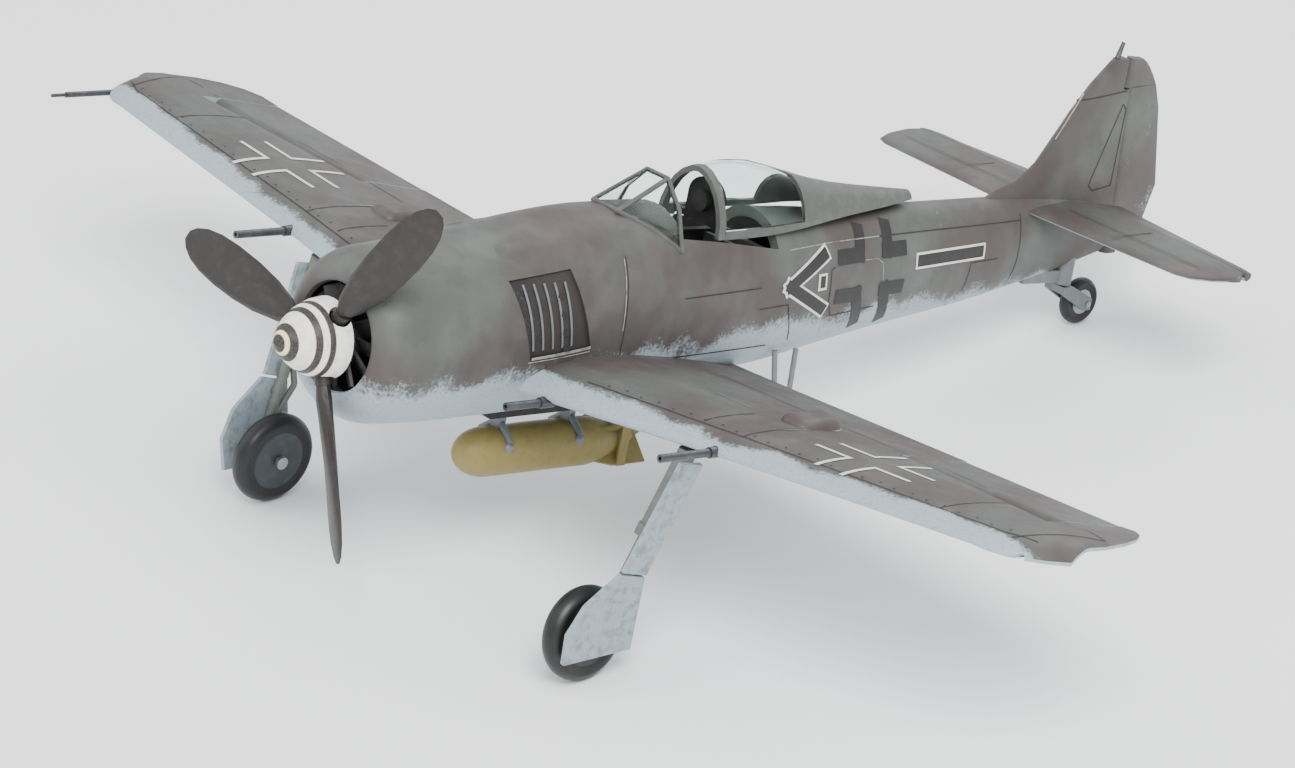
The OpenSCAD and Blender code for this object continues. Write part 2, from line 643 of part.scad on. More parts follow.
// Sockets of the guns in the leading edge
module gun_sockets() {
  for (g = [[root_gun_x, root_gun_drop], [wing_gun_x, 0]]) at_edge(g[0], g[1])
    translate([0, 0, -2]) cylinder(r = gun_collar + pin_fit, h = 2 + seat_depth + 0.05, $fn = 24);
  at_edge(pitot_x, 0)
    translate([0, 0, -2]) cylinder(r = pitot_r + pin_fit, h = 2 + seat_depth + 0.05, $fn = 16);
}
module root_guns() { color([0.35, 0.35, 0.36]) stand() both_sides() gun(root_gun_x, 5, root_gun_drop); }
module wing_guns() { color([0.35, 0.35, 0.36]) stand() both_sides() gun(wing_gun_x, 7, 0); }
module pitot_tube() {
  color([0.5, 0.5, 0.5]) stand() mirror([1, 0, 0]) at_edge(pitot_x, 0) {
    translate([0, 0, -6]) cylinder(r = pitot_r, h = 6 + seat_depth);
    translate([0, 0, -7.9]) cylinder(r = 0.2, h = 2);
  }
}
module wing_blisters() {
  top = wing_point(31.6, 0.4, 1)[2];
  color([0.36, 0.35, 0.34]) stand() moulding() both_sides() difference() {
    hull() for (y = [40.6, 44.2], x = [30.9, 32.3]) translate([x, y, top - 0.6]) sphere(r = 1.3, $fn = 16);
    wing_space(1);
    translate([20, 30, -12]) cube([20, 30, 12 + top - 1.5]);
  }
}

// ---------- tail pieces ----------
function tail_foil(u) = min(1, 1.6 * sqrt(u) - 0.6 * u);
module tailplane_half() {
  xs = [0, 6, 12, 18, tail_tip, tail_tip + 1.6, tail_tip + 2.7, tail_half];
  skin([for (x = xs)
    let(
      k = x <= tail_tip ? 1 : sqrt(max(1 - pow((x - tail_tip) / (tail_half - tail_tip), 2.3), 0.05)),
      mid = elevator_y - 2,
      le = mix(mid, tail_le(x), k),
      te = mix(mid, elevator_y + 0.4, k),
      h = mix(0.78, 0.62, x / tail_half) * (0.45 + 0.55 * k))
    concat([for (u = [0, 0.04, 0.14, 0.35, 0.65, 1]) [x, mix(le, te, u), tail_z + h * tail_foil(u)]],
      [for (u = [1, 0.65, 0.35, 0.14, 0.04, 0.005]) [x, mix(le, te, u), tail_z - h * tail_foil(u)]])]);
}
module elevator_room() {
  hull() for (x = [-30, 30]) translate([x, elevator_y, tail_z]) rotate([0, 90, 0])
    cylinder(r = elevator_nose + swing_gap, h = 0.1, $fn = 32);
  translate([-30, elevator_y, tail_z - 5]) cube([60, 20, 10]);
}
module tailplanes() {
  color([0.38, 0.37, 0.37]) stand() moulding() difference() {
    both_sides() tailplane_half();
    elevator_room();
    difference() {
      union() {
        hull_block(100, tail_y, 0);
        fin_half(1);
        fin_half(-1);
      }
      tail_space();
    }
    translate([-1.6, elevator_y - 2, 0]) cube([3.2, 10, 20]);
  }
}
module elevator(side) {
  xs = [elevator_in, 12, tail_tip, tail_tip + 1.9, tail_half - 0.25];
  mirror([side < 0 ? 1 : 0, 0, 0]) flap([for (x = xs)
    let(k = x <= tail_tip ? 1 : 1 - pow((x - tail_tip) / (tail_half - tail_tip), 2.2) * 0.8)
    [[x, elevator_y, tail_z], elevator_nose * (0.55 + 0.45 * k),
      [x, mix(elevator_y, tail_te(x), k), tail_z]]]);
}
module elevator_port() { color([0.4, 0.4, 0.4]) stand() elevator(1); }
module elevator_starboard() { color([0.4, 0.4, 0.4]) stand() elevator(-1); }
module rudder() {
  zs = [1.6, 3.0, 5.0, rudder_te_z, 13.3, 18, rudder_step];
  color([0.4, 0.39, 0.39]) stand() moulding() {
    skin([for (z = zs) rudder_ring(z, rudder_hinge(z)[1], rudder_nose(z))]);
    skin([for (z = [rudder_step - EPS, 21.8, fin_top - 1.2, fin_top - 0.6, fin_top - 0.2, fin_top])
      rudder_ring(z, 115.9 - 117.1 + tail_y + (z - rudder_step) * 0.05, rudder_nose(z) * 0.9)]);
  }
}
function rudder_ring(z, hy, r) =
  let(te = tail_y + along(RUDDER_TE, z, 1))
  concat([for (i = [0:8]) let(a = 90 + 180 * i / 8) [r * sin(a), hy + r * cos(a), z]],
    [[-0.12, te, z], [0.12, te, z], [0.9 * r, hy + 1.2 * r, z]]);
module aerial_mast() {
  color([0.35, 0.35, 0.35]) stand()
    rod([0, fin_le(24) + 0.6, fin_top], [0, fin_le(24) + 1.1, fin_top + 1.8], 0.32, 0.22);
}

// ---------- undercarriage ----------
leg_top = [28.4, 29.8, -2.6];
leg_low = [26.35, axle_y + 0.3, -20.8];
leg_mid = mix(leg_top, leg_low, 0.52);
boss_in = tyre_w / 2 + 0.25;
module door_plate() {
  low_z = -25;
  translate([26.9, 0, low_z]) rotate([0, 7.7, 0]) rotate([90, 0, 90])
    translate([0, 0, -0.5]) linear_extrude(0.5) {
    polygon([[19.9, -0.1], [19.3, 3.2], [20.6, 6.3], [24.1, 9.4], [27.4, 8.8], [28.4, 0.7]]);
    polygon([[24.3, 9.65], [24.5, 10], [27.7, 21.2], [30.6, 20.9], [27.5, 9.05]]);
  }
}
module gear_door_port() { color([0.5, 0.58, 0.62]) stand() door_plate(); }
module gear_door_starboard() { color([0.5, 0.58, 0.62]) stand() mirror([1, 0, 0]) door_plate(); }
module gear_leg() {
  difference() {
    union() {
      rod(leg_top, leg_mid, 0.95);
      rod(mix(leg_top, leg_mid, 0.97), leg_low, 0.58);
      rod(mix(leg_top, leg_mid, 0.9), mix(leg_top, leg_mid, 1.02), 1.12);
      rod(leg_low, on_axle(boss_in + 0.55), 0.62);
      rod(on_axle(boss_in), on_axle(boss_in + 1.15), 0.95);
      for (t = [0.35, 0.8]) rod(mix(leg_top, leg_low, t), mix(leg_top, leg_low, t) + [1.1, 0, 0.15], 0.4);
      rod(leg_mid + [0, 0, -0.6], mix(leg_mid, leg_low, 0.5) + [0, 2.0, 0], 0.34);
      rod(mix(leg_mid, leg_low, 0.5) + [0, 2.0, 0], leg_low + [0, 0, -0.4], 0.34);
    }
    door_plate();
    rod(on_axle(0), on_axle(boss_in + 2), axle_r);
    translate([20, 20, leg_top[2] - 0.4]) cube([20, 20, 5]);
  }
}
module leg_socket() {
  rod(leg_top, leg_mid, 0.97);
}
module gear_leg_port() { color([0.3, 0.33, 0.31]) stand() gear_leg(); }
module gear_leg_starboard() { color([0.3, 0.33, 0.31]) stand() mirror([1, 0, 0]) gear_leg(); }
module axle() {
  rod(on_axle(-tyre_w / 2 - 0.3), on_axle(boss_in + 0.8), axle_r);
  rod(on_axle(-tyre_w / 2 - 0.5), on_axle(-tyre_w / 2 - 0.15), axle_r * 1.5);
}
module axle_port() { color([0.5, 0.5, 0.5]) stand() axle(); }
module axle_starboard() { color([0.5, 0.5, 0.5]) stand() mirror([1, 0, 0]) axle(); }
// Turned ring on a main wheel's axis; distances run outboard from the wheel's middle
module on_wheel() {
  translate(wheel_at) rotate([0, 90 - camber, 0]) children();
}
function tread(r, w, round) =
  let(a = asin(min(w / 2 / round, 1)))
  [for (i = [0:12]) let(t = mix(-a, a, i / 12)) [r - round + round * cos(t), round * sin(t)]];
hub_r = tyre_r * 0.64;
module tyre() {
  on_wheel() rotate_extrude($fn = 72) polygon(concat(
    [[hub_r, -tyre_w * 0.42]], tread(tyre_r, tyre_w, tyre_round), [[hub_r, tyre_w * 0.42]]));
}
module wheel_hub() {
  on_wheel() rotate_extrude($fn = 72) polygon([
    [axle_r + pin_fit, -tyre_w * 0.42], [hub_r * 0.9, -tyre_w * 0.36], [hub_r, -tyre_w * 0.42],
    [hub_r, tyre_w * 0.42], [hub_r * 0.9, tyre_w * 0.36], [1.3, tyre_w * 0.36],
    [1.3, tyre_w * 0.5], [axle_r + pin_fit, tyre_w * 0.5]]);
}
module tyre_port() { color([0.06, 0.06, 0.06]) stand() tyre(); }
module tyre_starboard() { color([0.06, 0.06, 0.06]) stand() mirror([1, 0, 0]) tyre(); }
module wheel_hub_port() { color([0.2, 0.22, 0.21]) stand() wheel_hub(); }
module wheel_hub_starboard() { color([0.2, 0.22, 0.21]) stand() mirror([1, 0, 0]) wheel_hub(); }
castor_low = -1.7;
module tail_leg() {
  color([0.45, 0.46, 0.47]) stand() {
    difference() {
      translate([0, castor[1], castor_low]) cylinder(r = 1.15, h = 3.2);
      translate([0, castor[1], castor_low - 1]) cylinder(r = axle_r + pin_fit, h = 6);
    }
    moulding() difference() {
      hull() {
        translate([-0.7, castor[1] - 7, -1.2]) cube([1.4, 3, 1.2]);
        translate([-0.5, castor[1] - 1.1, castor_low + 0.2]) cube([1, 1, 1.4]);
      }
      hull_block(100, tail_y, 0);
      translate([0, castor[1], -5]) cylinder(r = 1.13, h = 9);
    }
  }
}
module tail_fork() {
  w = tail_tyre_w / 2 + 0.2;
  color([0.5, 0.51, 0.52]) stand() difference() {
    union() {
      translate([0, castor[1], castor_low - 0.9]) cylinder(r = axle_r, h = 4.4);
      translate([0, castor[1], castor_low + 3.35]) cylinder(r = 0.8, h = 0.4);
      translate([-w - 0.5, castor[1] - 0.8, castor_low - 0.95]) cube([2 * w + 1, 1.6, 0.8]);
      for (s = [-1, 1]) {
        plate_yz(s * (w + 0.25), 0.5, [
          [castor[1] - 0.8, castor_low - 0.15], [castor[1] + 0.8, castor_low - 0.15],
          [tail_wheel[1] + 0.6, tail_wheel[2] + 0.6], [tail_wheel[1] + 0.6, tail_wheel[2] - 0.7],
          [tail_wheel[1] - 0.6, tail_wheel[2] - 0.7], [castor[1] - 0.8, castor_low - 0.95]]);
      }
    }
    translate(tail_wheel) rotate([0, 90, 0]) cylinder(r = 0.35, h = 8, center = true);
  }
}
module tail_axle() {
  w = tail_tyre_w / 2 + 0.7;
  color([0.5, 0.5, 0.5]) stand() translate(tail_wheel) rotate([0, 90, 0])
    cylinder(r = 0.35, h = 2 * w + 0.4, center = true);
}
module tail_tyre() {
  color([0.06, 0.06, 0.06]) stand() translate(tail_wheel) rotate([0, 90, 0]) rotate_extrude()
    polygon(concat([[1.4, -tail_tyre_w * 0.4]], tread(tail_tyre_r, tail_tyre_w, tail_tyre_w * 0.55),
      [[1.4, tail_tyre_w * 0.4]]));
}
module tail_hub() {
  color([0.55, 0.56, 0.57]) stand() translate(tail_wheel) rotate([0, 90, 0]) difference() {
    cylinder(r = 1.4, h = tail_tyre_w * 0.8, center = true);
    cylinder(r = 0.35 + pin_fit, h = 5, center = true);
  }
}

// ---------- belly store ----------
bomb_y = 26.5;
bomb_z = -14.0;
rack_z = -9.9;
BOMB_TAIL = [
  [bomb_r, 16.8], [bomb_r * 0.92, 18.5], [bomb_r * 0.6, bomb_len - 3], [0.5, bomb_len - 0.6],
  [0, bomb_len - 0.6]];
module bomb_rack() {
  color([0.08, 0.08, 0.08]) stand() moulding() difference() {
    hull() {
      translate([-0.8, 29.5, rack_z - 0.3]) cube([1.6, 14, 0.3]);
      translate([-0.8, 28, -8]) cube([1.6, 17, 1]);
    }
    hull_block(20, 60, 0);
  }
}
module sway_braces() {
  color([0.45, 0.46, 0.47]) stand() difference() {
    for (y = [31.5, 41]) {
      translate([-0.6, y - 0.45, bomb_z]) cube([1.2, 0.9, rack_z - 0.3 - bomb_z]);
      both_sides() {
        rod([0, y, rack_z - 0.75], [2.3, y, bomb_z + bomb_r * 0.62], 0.4);
        translate([2.0, y, bomb_z + 1.0]) sphere(r = 0.65);
      }
    }
    translate([0, bomb_y - 1, bomb_z]) along_y(0, bomb_len, bomb_r);
  }
}
module bomb() {
  color([0.5, 0.44, 0.22]) stand() translate([0, bomb_y, bomb_z]) turned(concat(
    [for (t = [0:10:90]) [bomb_r * sin(t), 3.6 * (1 - cos(t))]],
    BOMB_TAIL));
}
module bomb_fins() {
  y0 = bomb_y + bomb_len;
  color([0.5, 0.44, 0.22]) stand() difference() {
    union() {
      for (a = [45, 135]) translate([0, 0, bomb_z]) rotate([0, a, 0]) plate_yz(0, 0.3,
        [[y0 - 7.5, -2.2], [y0 - 4.5, -3.1], [y0, -3.1], [y0, 3.1], [y0 - 4.5, 3.1], [y0 - 7.5, 2.2]]);
      translate([0, y0 - 4, bomb_z]) rotate([-90, 0, 0]) linear_extrude(1.2) difference() {
        square(4.6, center = true);
        square(4.0, center = true);
      }
    }
    translate([0, bomb_y, bomb_z]) turned(concat([[0, 0], [bomb_r, 3]], BOMB_TAIL));
  }
}
module boarding_step() {
  color([0.45, 0.46, 0.47]) stand() moulding() difference() {
    union() {
      rod([5.2, 63.7, -4], [6.3, 64.8, -13], 0.3, $fn = 14);
      rod([5.2, 66.8, -4], [6.4, 66.0, -14], 0.3, $fn = 14);
      rod([6.35, 64.6, -13.2], [6.35, 66.3, -13.2], 0.35, $fn = 14);
    }
    hull_block(52, 76, 0);
  }
}

// ---------- propeller ----------
hub_back = spinner_len + 0.25;
fan_y = 7.75;
function spinner_at(y) = spinner_r * pow(1 - pow(1 - y / spinner_len, 2), 0.9);
BLADE = [[0.12, 0.28, 52, 0.95], [0.19, 0.28, 50, 0.95], [0.27, 0.62, 45, 0.55], [0.4, 0.86, 38, 0.36],
  [0.55, 0.98, 32, 0.26], [0.7, 1, 28, 0.2], [0.82, 0.93, 25, 0.17], [0.91, 0.76, 23, 0.15],
  [0.97, 0.5, 22, 0.13], [1, 0.22, 22, 0.1]];
function blade_ring(b) =
  [for (i = [0:11]) let(
      t = 30 * i,
      c = blade_chord * b[1] / 2 * cos(t),
      h = blade_chord * b[1] * b[3] / 2 * sin(t) * (1 + 0.35 * cos(t)))
    [b[0] * prop_r, -c * sin(b[2]) - h * cos(b[2]), c * cos(b[2]) - h * sin(b[2])]];
// Turns +z to the axis of each blade
module at_blades() {
  for (i = [0:2]) translate([0, blade_y, 0]) rotate([0, 90 - blade_phase - 120 * i, 0]) children();
}
module blades() {
  color([0.09, 0.08, 0.07]) stand() {
    moulding() {
      at_blades() rotate([0, -90, 0]) skin([for (b = BLADE) blade_ring(b)]);
      translate([0, blade_y, 0]) rotate([90, 0, 0]) cylinder(r = 2.9, h = 1.8, center = true);
      at_blades() cylinder(r = 0.85, h = spinner_r + 0.5);
    }
  }
}
module spinner() {
  color([0.85, 0.85, 0.82]) stand() difference() {
    turned(concat([for (t = [0:0.1:1]) let(y = spinner_len * t * t) [spinner_at(y), y]],
      [[spinner_r - 0.75, spinner_len], [spinner_r - 0.9, 4.6], [0, 4.6]]));
    at_blades() cylinder(r = 1.15, h = 6);
  }
}
module prop_hub() {
  color([0.15, 0.15, 0.15]) stand() difference() {
    union() {
      along_y(spinner_len, spinner_len + 0.35, spinner_r - 0.15);
      along_y(spinner_len + 0.35, fan_y, 2.4);
    }
    along_y(0, 30, shaft_r);
  }
}
module cooling_fan() {
  color([0.1, 0.1, 0.1]) stand() {
    difference() {
      along_y(fan_y, fan_y + 1.7, 2.7);
      along_y(0, 30, shaft_r);
    }
    difference() {
      for (i = [0:fan_blades - 1]) rotate([0, i * 360 / fan_blades, 0])
        translate([0, fan_y + 0.85, 2.4]) rotate([0, 0, 32])
          translate([-0.95, -0.16, 0]) cube([1.9, 0.32, inlet_r - 2.4 - 0.3]);
      along_y(0, 30, 2.6);
    }
  }
}
module prop_shaft() {
  color([0.6, 0.6, 0.6]) stand() difference() {
    along_y(blade_y + 0.9, bearing_y + bearing_len + 1.6, shaft_r);
    along_y(0, 4.6, 3);
  }
}
module shaft_retainer() {
  color([0.6, 0.6, 0.6]) stand() difference() {
    along_y(bearing_y + bearing_len + 0.25, bearing_y + bearing_len + 1.25, 1.9);
    along_y(0, 30, shaft_r);
  }
}

fuselage_port();
fuselage_starboard();
engine_cowl();
cowl_ring();
gun_cover();
exhaust_port();
exhaust_starboard();
engine_front();
cockpit_tub();
seat();
instrument_panel();
gunsight();
control_stick();
windscreen_frame();
windscreen_glass();
wing_lower();
wing_upper_port();
wing_upper_starboard();
root_guns();
wing_guns();
wing_blisters();
pitot_tube();
tailplanes();
aerial_mast();
boarding_step();
gear_leg_port();
gear_leg_starboard();
gear_door_port();
gear_door_starboard();
axle_port();
axle_starboard();
tail_leg();
bomb_rack();
sway_braces();
bomb();
bomb_fins();
spinner();
blades();
prop_hub();
cooling_fan();
prop_shaft();
shaft_retainer();
hood_frame();
hood_glass();
hood_fairing();
head_armour();
rudder();
elevator_port();
elevator_starboard();
aileron_port();
aileron_starboard();
tyre_port();
wheel_hub_port();
tyre_starboard();
wheel_hub_starboard();
tail_fork();
tail_axle();
tail_tyre();
tail_hub();
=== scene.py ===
"""Looks of the single-engine propeller plane model.

Places are worked out in flight axes in millimetres, x to port, y aft from the
spinner tip, z up from the thrust line, and turned into the frame's metres.
"""
import json
import logging
import math
import random
from collections.abc import Callable, Sequence
from dataclasses import dataclass, field
from enum import Enum

import bmesh
import bpy
from mathutils import Matrix, Vector

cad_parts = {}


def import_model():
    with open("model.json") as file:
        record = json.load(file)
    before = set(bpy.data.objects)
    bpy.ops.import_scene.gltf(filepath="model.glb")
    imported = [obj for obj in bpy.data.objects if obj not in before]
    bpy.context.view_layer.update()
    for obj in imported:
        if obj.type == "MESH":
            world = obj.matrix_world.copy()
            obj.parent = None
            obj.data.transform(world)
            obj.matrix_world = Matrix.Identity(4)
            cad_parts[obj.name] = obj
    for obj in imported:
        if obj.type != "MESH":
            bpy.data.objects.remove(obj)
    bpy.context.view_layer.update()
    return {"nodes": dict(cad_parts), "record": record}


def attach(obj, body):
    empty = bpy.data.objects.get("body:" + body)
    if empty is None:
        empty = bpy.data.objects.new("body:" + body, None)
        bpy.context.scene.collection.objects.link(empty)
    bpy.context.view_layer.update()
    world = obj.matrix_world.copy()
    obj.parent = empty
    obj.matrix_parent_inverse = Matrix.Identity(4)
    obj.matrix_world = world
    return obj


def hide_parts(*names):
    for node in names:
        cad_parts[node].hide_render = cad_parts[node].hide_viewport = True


LOG = logging.getLogger("plane")
Point = tuple[float, float, float]
Flat = tuple[float, float]
Surface = Callable[[float, float], Point]
Socket = bpy.types.NodeSocket

# ---------------------------------------------------------------- flight axes
MM = 0.001
SIT_ANGLE = math.radians(13.1383)
MODEL_LENGTH = 123.1895
GROUND_DROP = 32.8861
TAIL_Y = 117.1
HALF_SPAN = 71.65
TIP_LENGTH = 7.0
TIP_X = HALF_SPAN - TIP_LENGTH
TAIL_Z = 7.5
TAIL_HALF = 25.2
TAIL_THICK = (0.78, 0.62)
RUDDER_CHORD = 7.0
RUDDER_EDGE = 0.12
BODY_REACH = 12.0

# The wing's section and the rounding of its tips
ROOT_RATIO = 0.145
TIP_RATIO = 0.10
THINNEST = 0.17
CAMBER = 0.018
TIP_CENTRE = 0.38
TIP_BLUNT = 0.04
TIP_RISE = 0.19

# How a strip is divided, and how far apart places are taken to find a surface's direction
STRIP_CELL = 0.45
STRIP_STEP = 0.9
NEAR = 0.05
WELD = 2e-6
SKIN_WELD = 1e-6


def stand(x: float, y: float, z: float) -> Vector:
    """Turns a place in flight millimetres into the frame's metres.

    Args:
        x: Distance to port.
        y: Distance aft of the spinner tip.
        z: Height above the thrust line.

    Returns:
        The place in the shared frame.
    """
    cos, sin = math.cos(SIT_ANGLE), math.sin(SIT_ANGLE)
    return Vector((x, y * cos + z * sin - MODEL_LENGTH / 2, z * cos - y * sin + GROUND_DROP)) * MM


def clamp(value: float, low: float, high: float) -> float:
    """Returns value held between low and high."""
    return max(low, min(high, value))


def blend_values(a: float, b: float, share: float) -> float:
    """Returns the value that lies share of the way from a to b."""
    return a + (b - a) * share


def along(table: Sequence[Sequence[float]], place: float, column: int) -> float:
    """Reads one column of a table smoothly between its rows.

    Args:
        table: Rows whose first column is the place.
        place: Where to read; held inside the table.
        column: Which column to read.

    Returns:
        The smooth value at that place.
    """
    place = clamp(place, table[0][0], table[-1][0])
    row = max(i for i in range(len(table) - 1) if table[i][0] <= place)

    def slope(i: int) -> float:
        """Returns the column's slope at row i."""
        a, b = table[max(i - 1, 0)], table[min(i + 1, len(table) - 1)]
        return (b[column] - a[column]) / (b[0] - a[0])

    step = table[row + 1][0] - table[row][0]
    t = (place - table[row][0]) / step
    return (
        (2 * t**3 - 3 * t * t + 1) * table[row][column]
        + (t**3 - 2 * t * t + t) * step * slope(row)
        + (3 * t * t - 2 * t**3) * table[row + 1][column]
        + (t**3 - t * t) * step * slope(row + 1)
    )


# Station, half width, top, bottom, height of the widest point, fullness above, fullness below
AFT = TAIL_Y - 63.9
STATIONS = (
    (12, 8.82, 8.82, -8.82, 0, 2, 2),
    (16.7, 9.08, 9.2, -9.08, 0, 2, 2),
    (20.6, 9.12, 9.6, -9.1, 0, 2, 2),
    (29.2, 8.85, 10.7, -8.9, 0, 2.1, 2.1),
    (33.3, 8.4, 11.2, -8.7, 0, 2.15, 2.15),
    (38.3, 7.75, 11.5, -8.4, 0.2, 2.25, 2.2),
    (47.2, 7.0, 11.3, -8.0, 0.5, 2.3, 2.2),
    (55.6, 6.5, 10.5, -7.4, 0.8, 2.3, 2.2),
    (63.9, 5.9, 9.75, -6.7, 1.0, 2.2, 2.2),
    (63.9 + AFT * 0.16, 5.2, 9.35, -5.5, 1.5, 2.1, 2.1),
    (63.9 + AFT * 0.36, 4.3, 9.1, -4.1, 2.2, 2, 2),
    (63.9 + AFT * 0.57, 3.35, 9.0, -2.8, 2.9, 2, 2),
    (63.9 + AFT * 0.73, 2.6, 8.9, -1.35, 3.5, 2, 2),
    (63.9 + AFT * 0.86, 2.0, 8.6, -0.1, 4.3, 2, 2),
    (TAIL_Y, 1.35, 8.2, 1.67, 5, 2, 2),
)
WING = (
    (4, 24.9, -4.2, 59.0, -5.6),
    (10.4, 25.7, -3.61, 58.2, -5.0),
    (32.6, 28.5, -1.67, 55.75, -2.8),
    (TIP_X, 30.4, 1.45, 52.0, 0.4),
)
FIN_EDGE = ((7, 93), (9.6, 98), (10.7, 101.5), (12.6, 103.75), (15.4, 105.7), (21.1, 109.9), (24, 113))


def hull_side(y: float, z: float) -> float:
    """Returns the fuselage's half width at a station and height."""
    s = [along(STATIONS, y, c) for c in range(7)]
    up = z >= s[4]
    share = clamp(abs(z - s[4]) / (s[2] - s[4] if up else s[4] - s[3]), 0.0, 1.0)
    n = s[5] if up else s[6]
    return s[1] * (1 - share**n) ** (1 / n)


def foil(u: float) -> float:
    """Returns the half thickness of the wing section at chord share u, for a section of thickness 1."""
    return 5 * (0.2969 * math.sqrt(u) - 0.126 * u - 0.3516 * u * u + 0.2843 * u**3 - 0.1036 * u**4)


def tip_keep(x: float) -> float:
    """Returns the share of the chord that the rounded tip keeps at a half span place."""
    share = max(0.0, (x - TIP_X) / TIP_LENGTH)
    return math.sqrt(max(1 - share**2, TIP_BLUNT))


def wing_edges(x: float) -> tuple[float, float, float, float]:
    """Returns leading edge y and z and trailing edge y and z at a half span place, tip rounding included."""
    le_y, le_z, te_y, te_z = (along(WING, x, c) for c in (1, 2, 3, 4))
    k = tip_keep(x)
    mid_y, mid_z = blend_values(le_y, te_y, TIP_CENTRE), blend_values(le_z, te_z, TIP_CENTRE)
    return (
        blend_values(mid_y, le_y, k),
        blend_values(mid_z, le_z, k),
        blend_values(mid_y, te_y, k),
        blend_values(mid_z, te_z, k),
    )


def wing_point(x: float, u: float, face: int) -> Point:
    """Finds a place on the port wing.

    Args:
        x: Half span place.
        u: Share of the chord from the leading edge.
        face: 1 for the upper skin, -1 for the lower, 0 for the middle.

    Returns:
        The place in flight millimetres.
    """
    le_y, le_z, te_y, te_z = wing_edges(x)
    chord = te_y - le_y
    share = max(0.0, (x - TIP_X) / TIP_LENGTH)
    ratio = blend_values(ROOT_RATIO, TIP_RATIO, clamp((x - 5) / (TIP_X - 5), 0, 1))
    ratio *= 0.35 + 0.65 * tip_keep(x)
    thick = max(ratio * foil(u) * chord, THINNEST)
    bow = CAMBER * chord * math.sin(math.pi * math.sqrt(u))
    bow += share * TIP_LENGTH * TIP_RISE * math.sin(math.pi * min(u, 0.5))
    return (x, blend_values(le_y, te_y, u), blend_values(le_z, te_z, u) + bow + face * thick)


def rudder_hinge(z: float) -> float:
    """Returns the station of the rudder's hinge line at a height."""
    return TAIL_Y - 0.08 * (z - 13.9)


def rudder_nose(z: float) -> float:
    """Returns the rudder's nose radius at a height."""
    return blend_values(0.95, 0.68, clamp((z - 2) / 19, 0, 1))


TURNED = ("tail_axle", "axle_port", "axle_starboard", "prop_shaft", "shaft_retainer", "tail_hub")
SLOT_NODES = {
    "underside_blue": ("wing_lower", "gear_door_port", "gear_door_starboard"),
    "soot_black": (
        "exhaust_port", "exhaust_starboard", "bomb_rack", "head_armour", "cooling_fan", "prop_hub",
        "instrument_panel", "gunsight", "control_stick", "engine_front",
    ),
    "blade_black": ("blades",),
    "spinner_white": ("spinner",),
    "cockpit_green": (
        "cockpit_tub", "seat", "windscreen_frame", "hood_frame", "hood_fairing", "gear_leg_port",
        "gear_leg_starboard", "wheel_hub_port", "wheel_hub_starboard",
    ),
    "steel": (
        "root_guns", "wing_guns", "pitot_tube", "aerial_mast", "tail_leg", "tail_fork", "boarding_step",
        "sway_braces",
    ),
    "clear": ("windscreen_glass", "hood_glass"),
    "tyre_rubber": ("tyre_port", "tyre_starboard", "tail_tyre"),
    "ochre": ("bomb", "bomb_fins"),
}
SLOT_OF = {node: slot for slot, group in SLOT_NODES.items() for node in group}


# ---------------------------------------------------------------- meshes
def make_piece(
    name: str,
    verts: Sequence[Sequence[float]],
    faces: Sequence[Sequence[int]],
    body: str,
    finish: bpy.types.Material,
) -> bpy.types.Object:
    """Makes a mesh piece from flight millimetres, dresses it and lets it ride on a body.

    Args:
        name: Name of the piece.
        verts: Corners in flight millimetres.
        faces: Corner numbers of each face.
        body: Body that carries the piece.
        finish: Material on its faces.

    Returns:
        The new object.
    """
    mesh = bpy.data.meshes.new(name)
    mesh.from_pydata([stand(*v) for v in verts], [], faces)
    work = bmesh.new()
    work.from_mesh(mesh)
    bmesh.ops.remove_doubles(work, verts=work.verts, dist=WELD)
    bmesh.ops.dissolve_degenerate(work, edges=work.edges, dist=SKIN_WELD)
    bmesh.ops.recalc_face_normals(work, faces=work.faces)
    for face in work.faces:
        face.smooth = True
    work.to_mesh(mesh)
    work.free()
    mesh.materials.append(finish)
    piece = bpy.data.objects.new(name, mesh)
    bpy.context.scene.collection.objects.link(piece)
    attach(piece, body)
    LOG.info("%s: %d faces", name, len(mesh.polygons))
    return piece


@dataclass
class Mesh:
    """Corners and faces gathered for one piece, in flight millimetres."""

    verts: list[Point] = field(default_factory=list)
    faces: list[list[int]] = field(default_factory=list)

    def add(self, verts: Sequence[Point], faces: Sequence[Sequence[int]]) -> None:
        """Adds corners and the faces between them."""
        base = len(self.verts)
        self.verts += list(verts)
        self.faces += [[base + i for i in f] for f in faces]

    def sheet(self, rows: Sequence[Sequence[Point]]) -> None:
        """Adds an open sheet through rows of equally many points."""
        n = len(rows[0])
        faces = [
            [r * n + i, r * n + i + 1, (r + 1) * n + i + 1, (r + 1) * n + i]
            for r in range(len(rows) - 1)
            for i in range(n - 1)
        ]
        self.add([p for row in rows for p in row], faces)


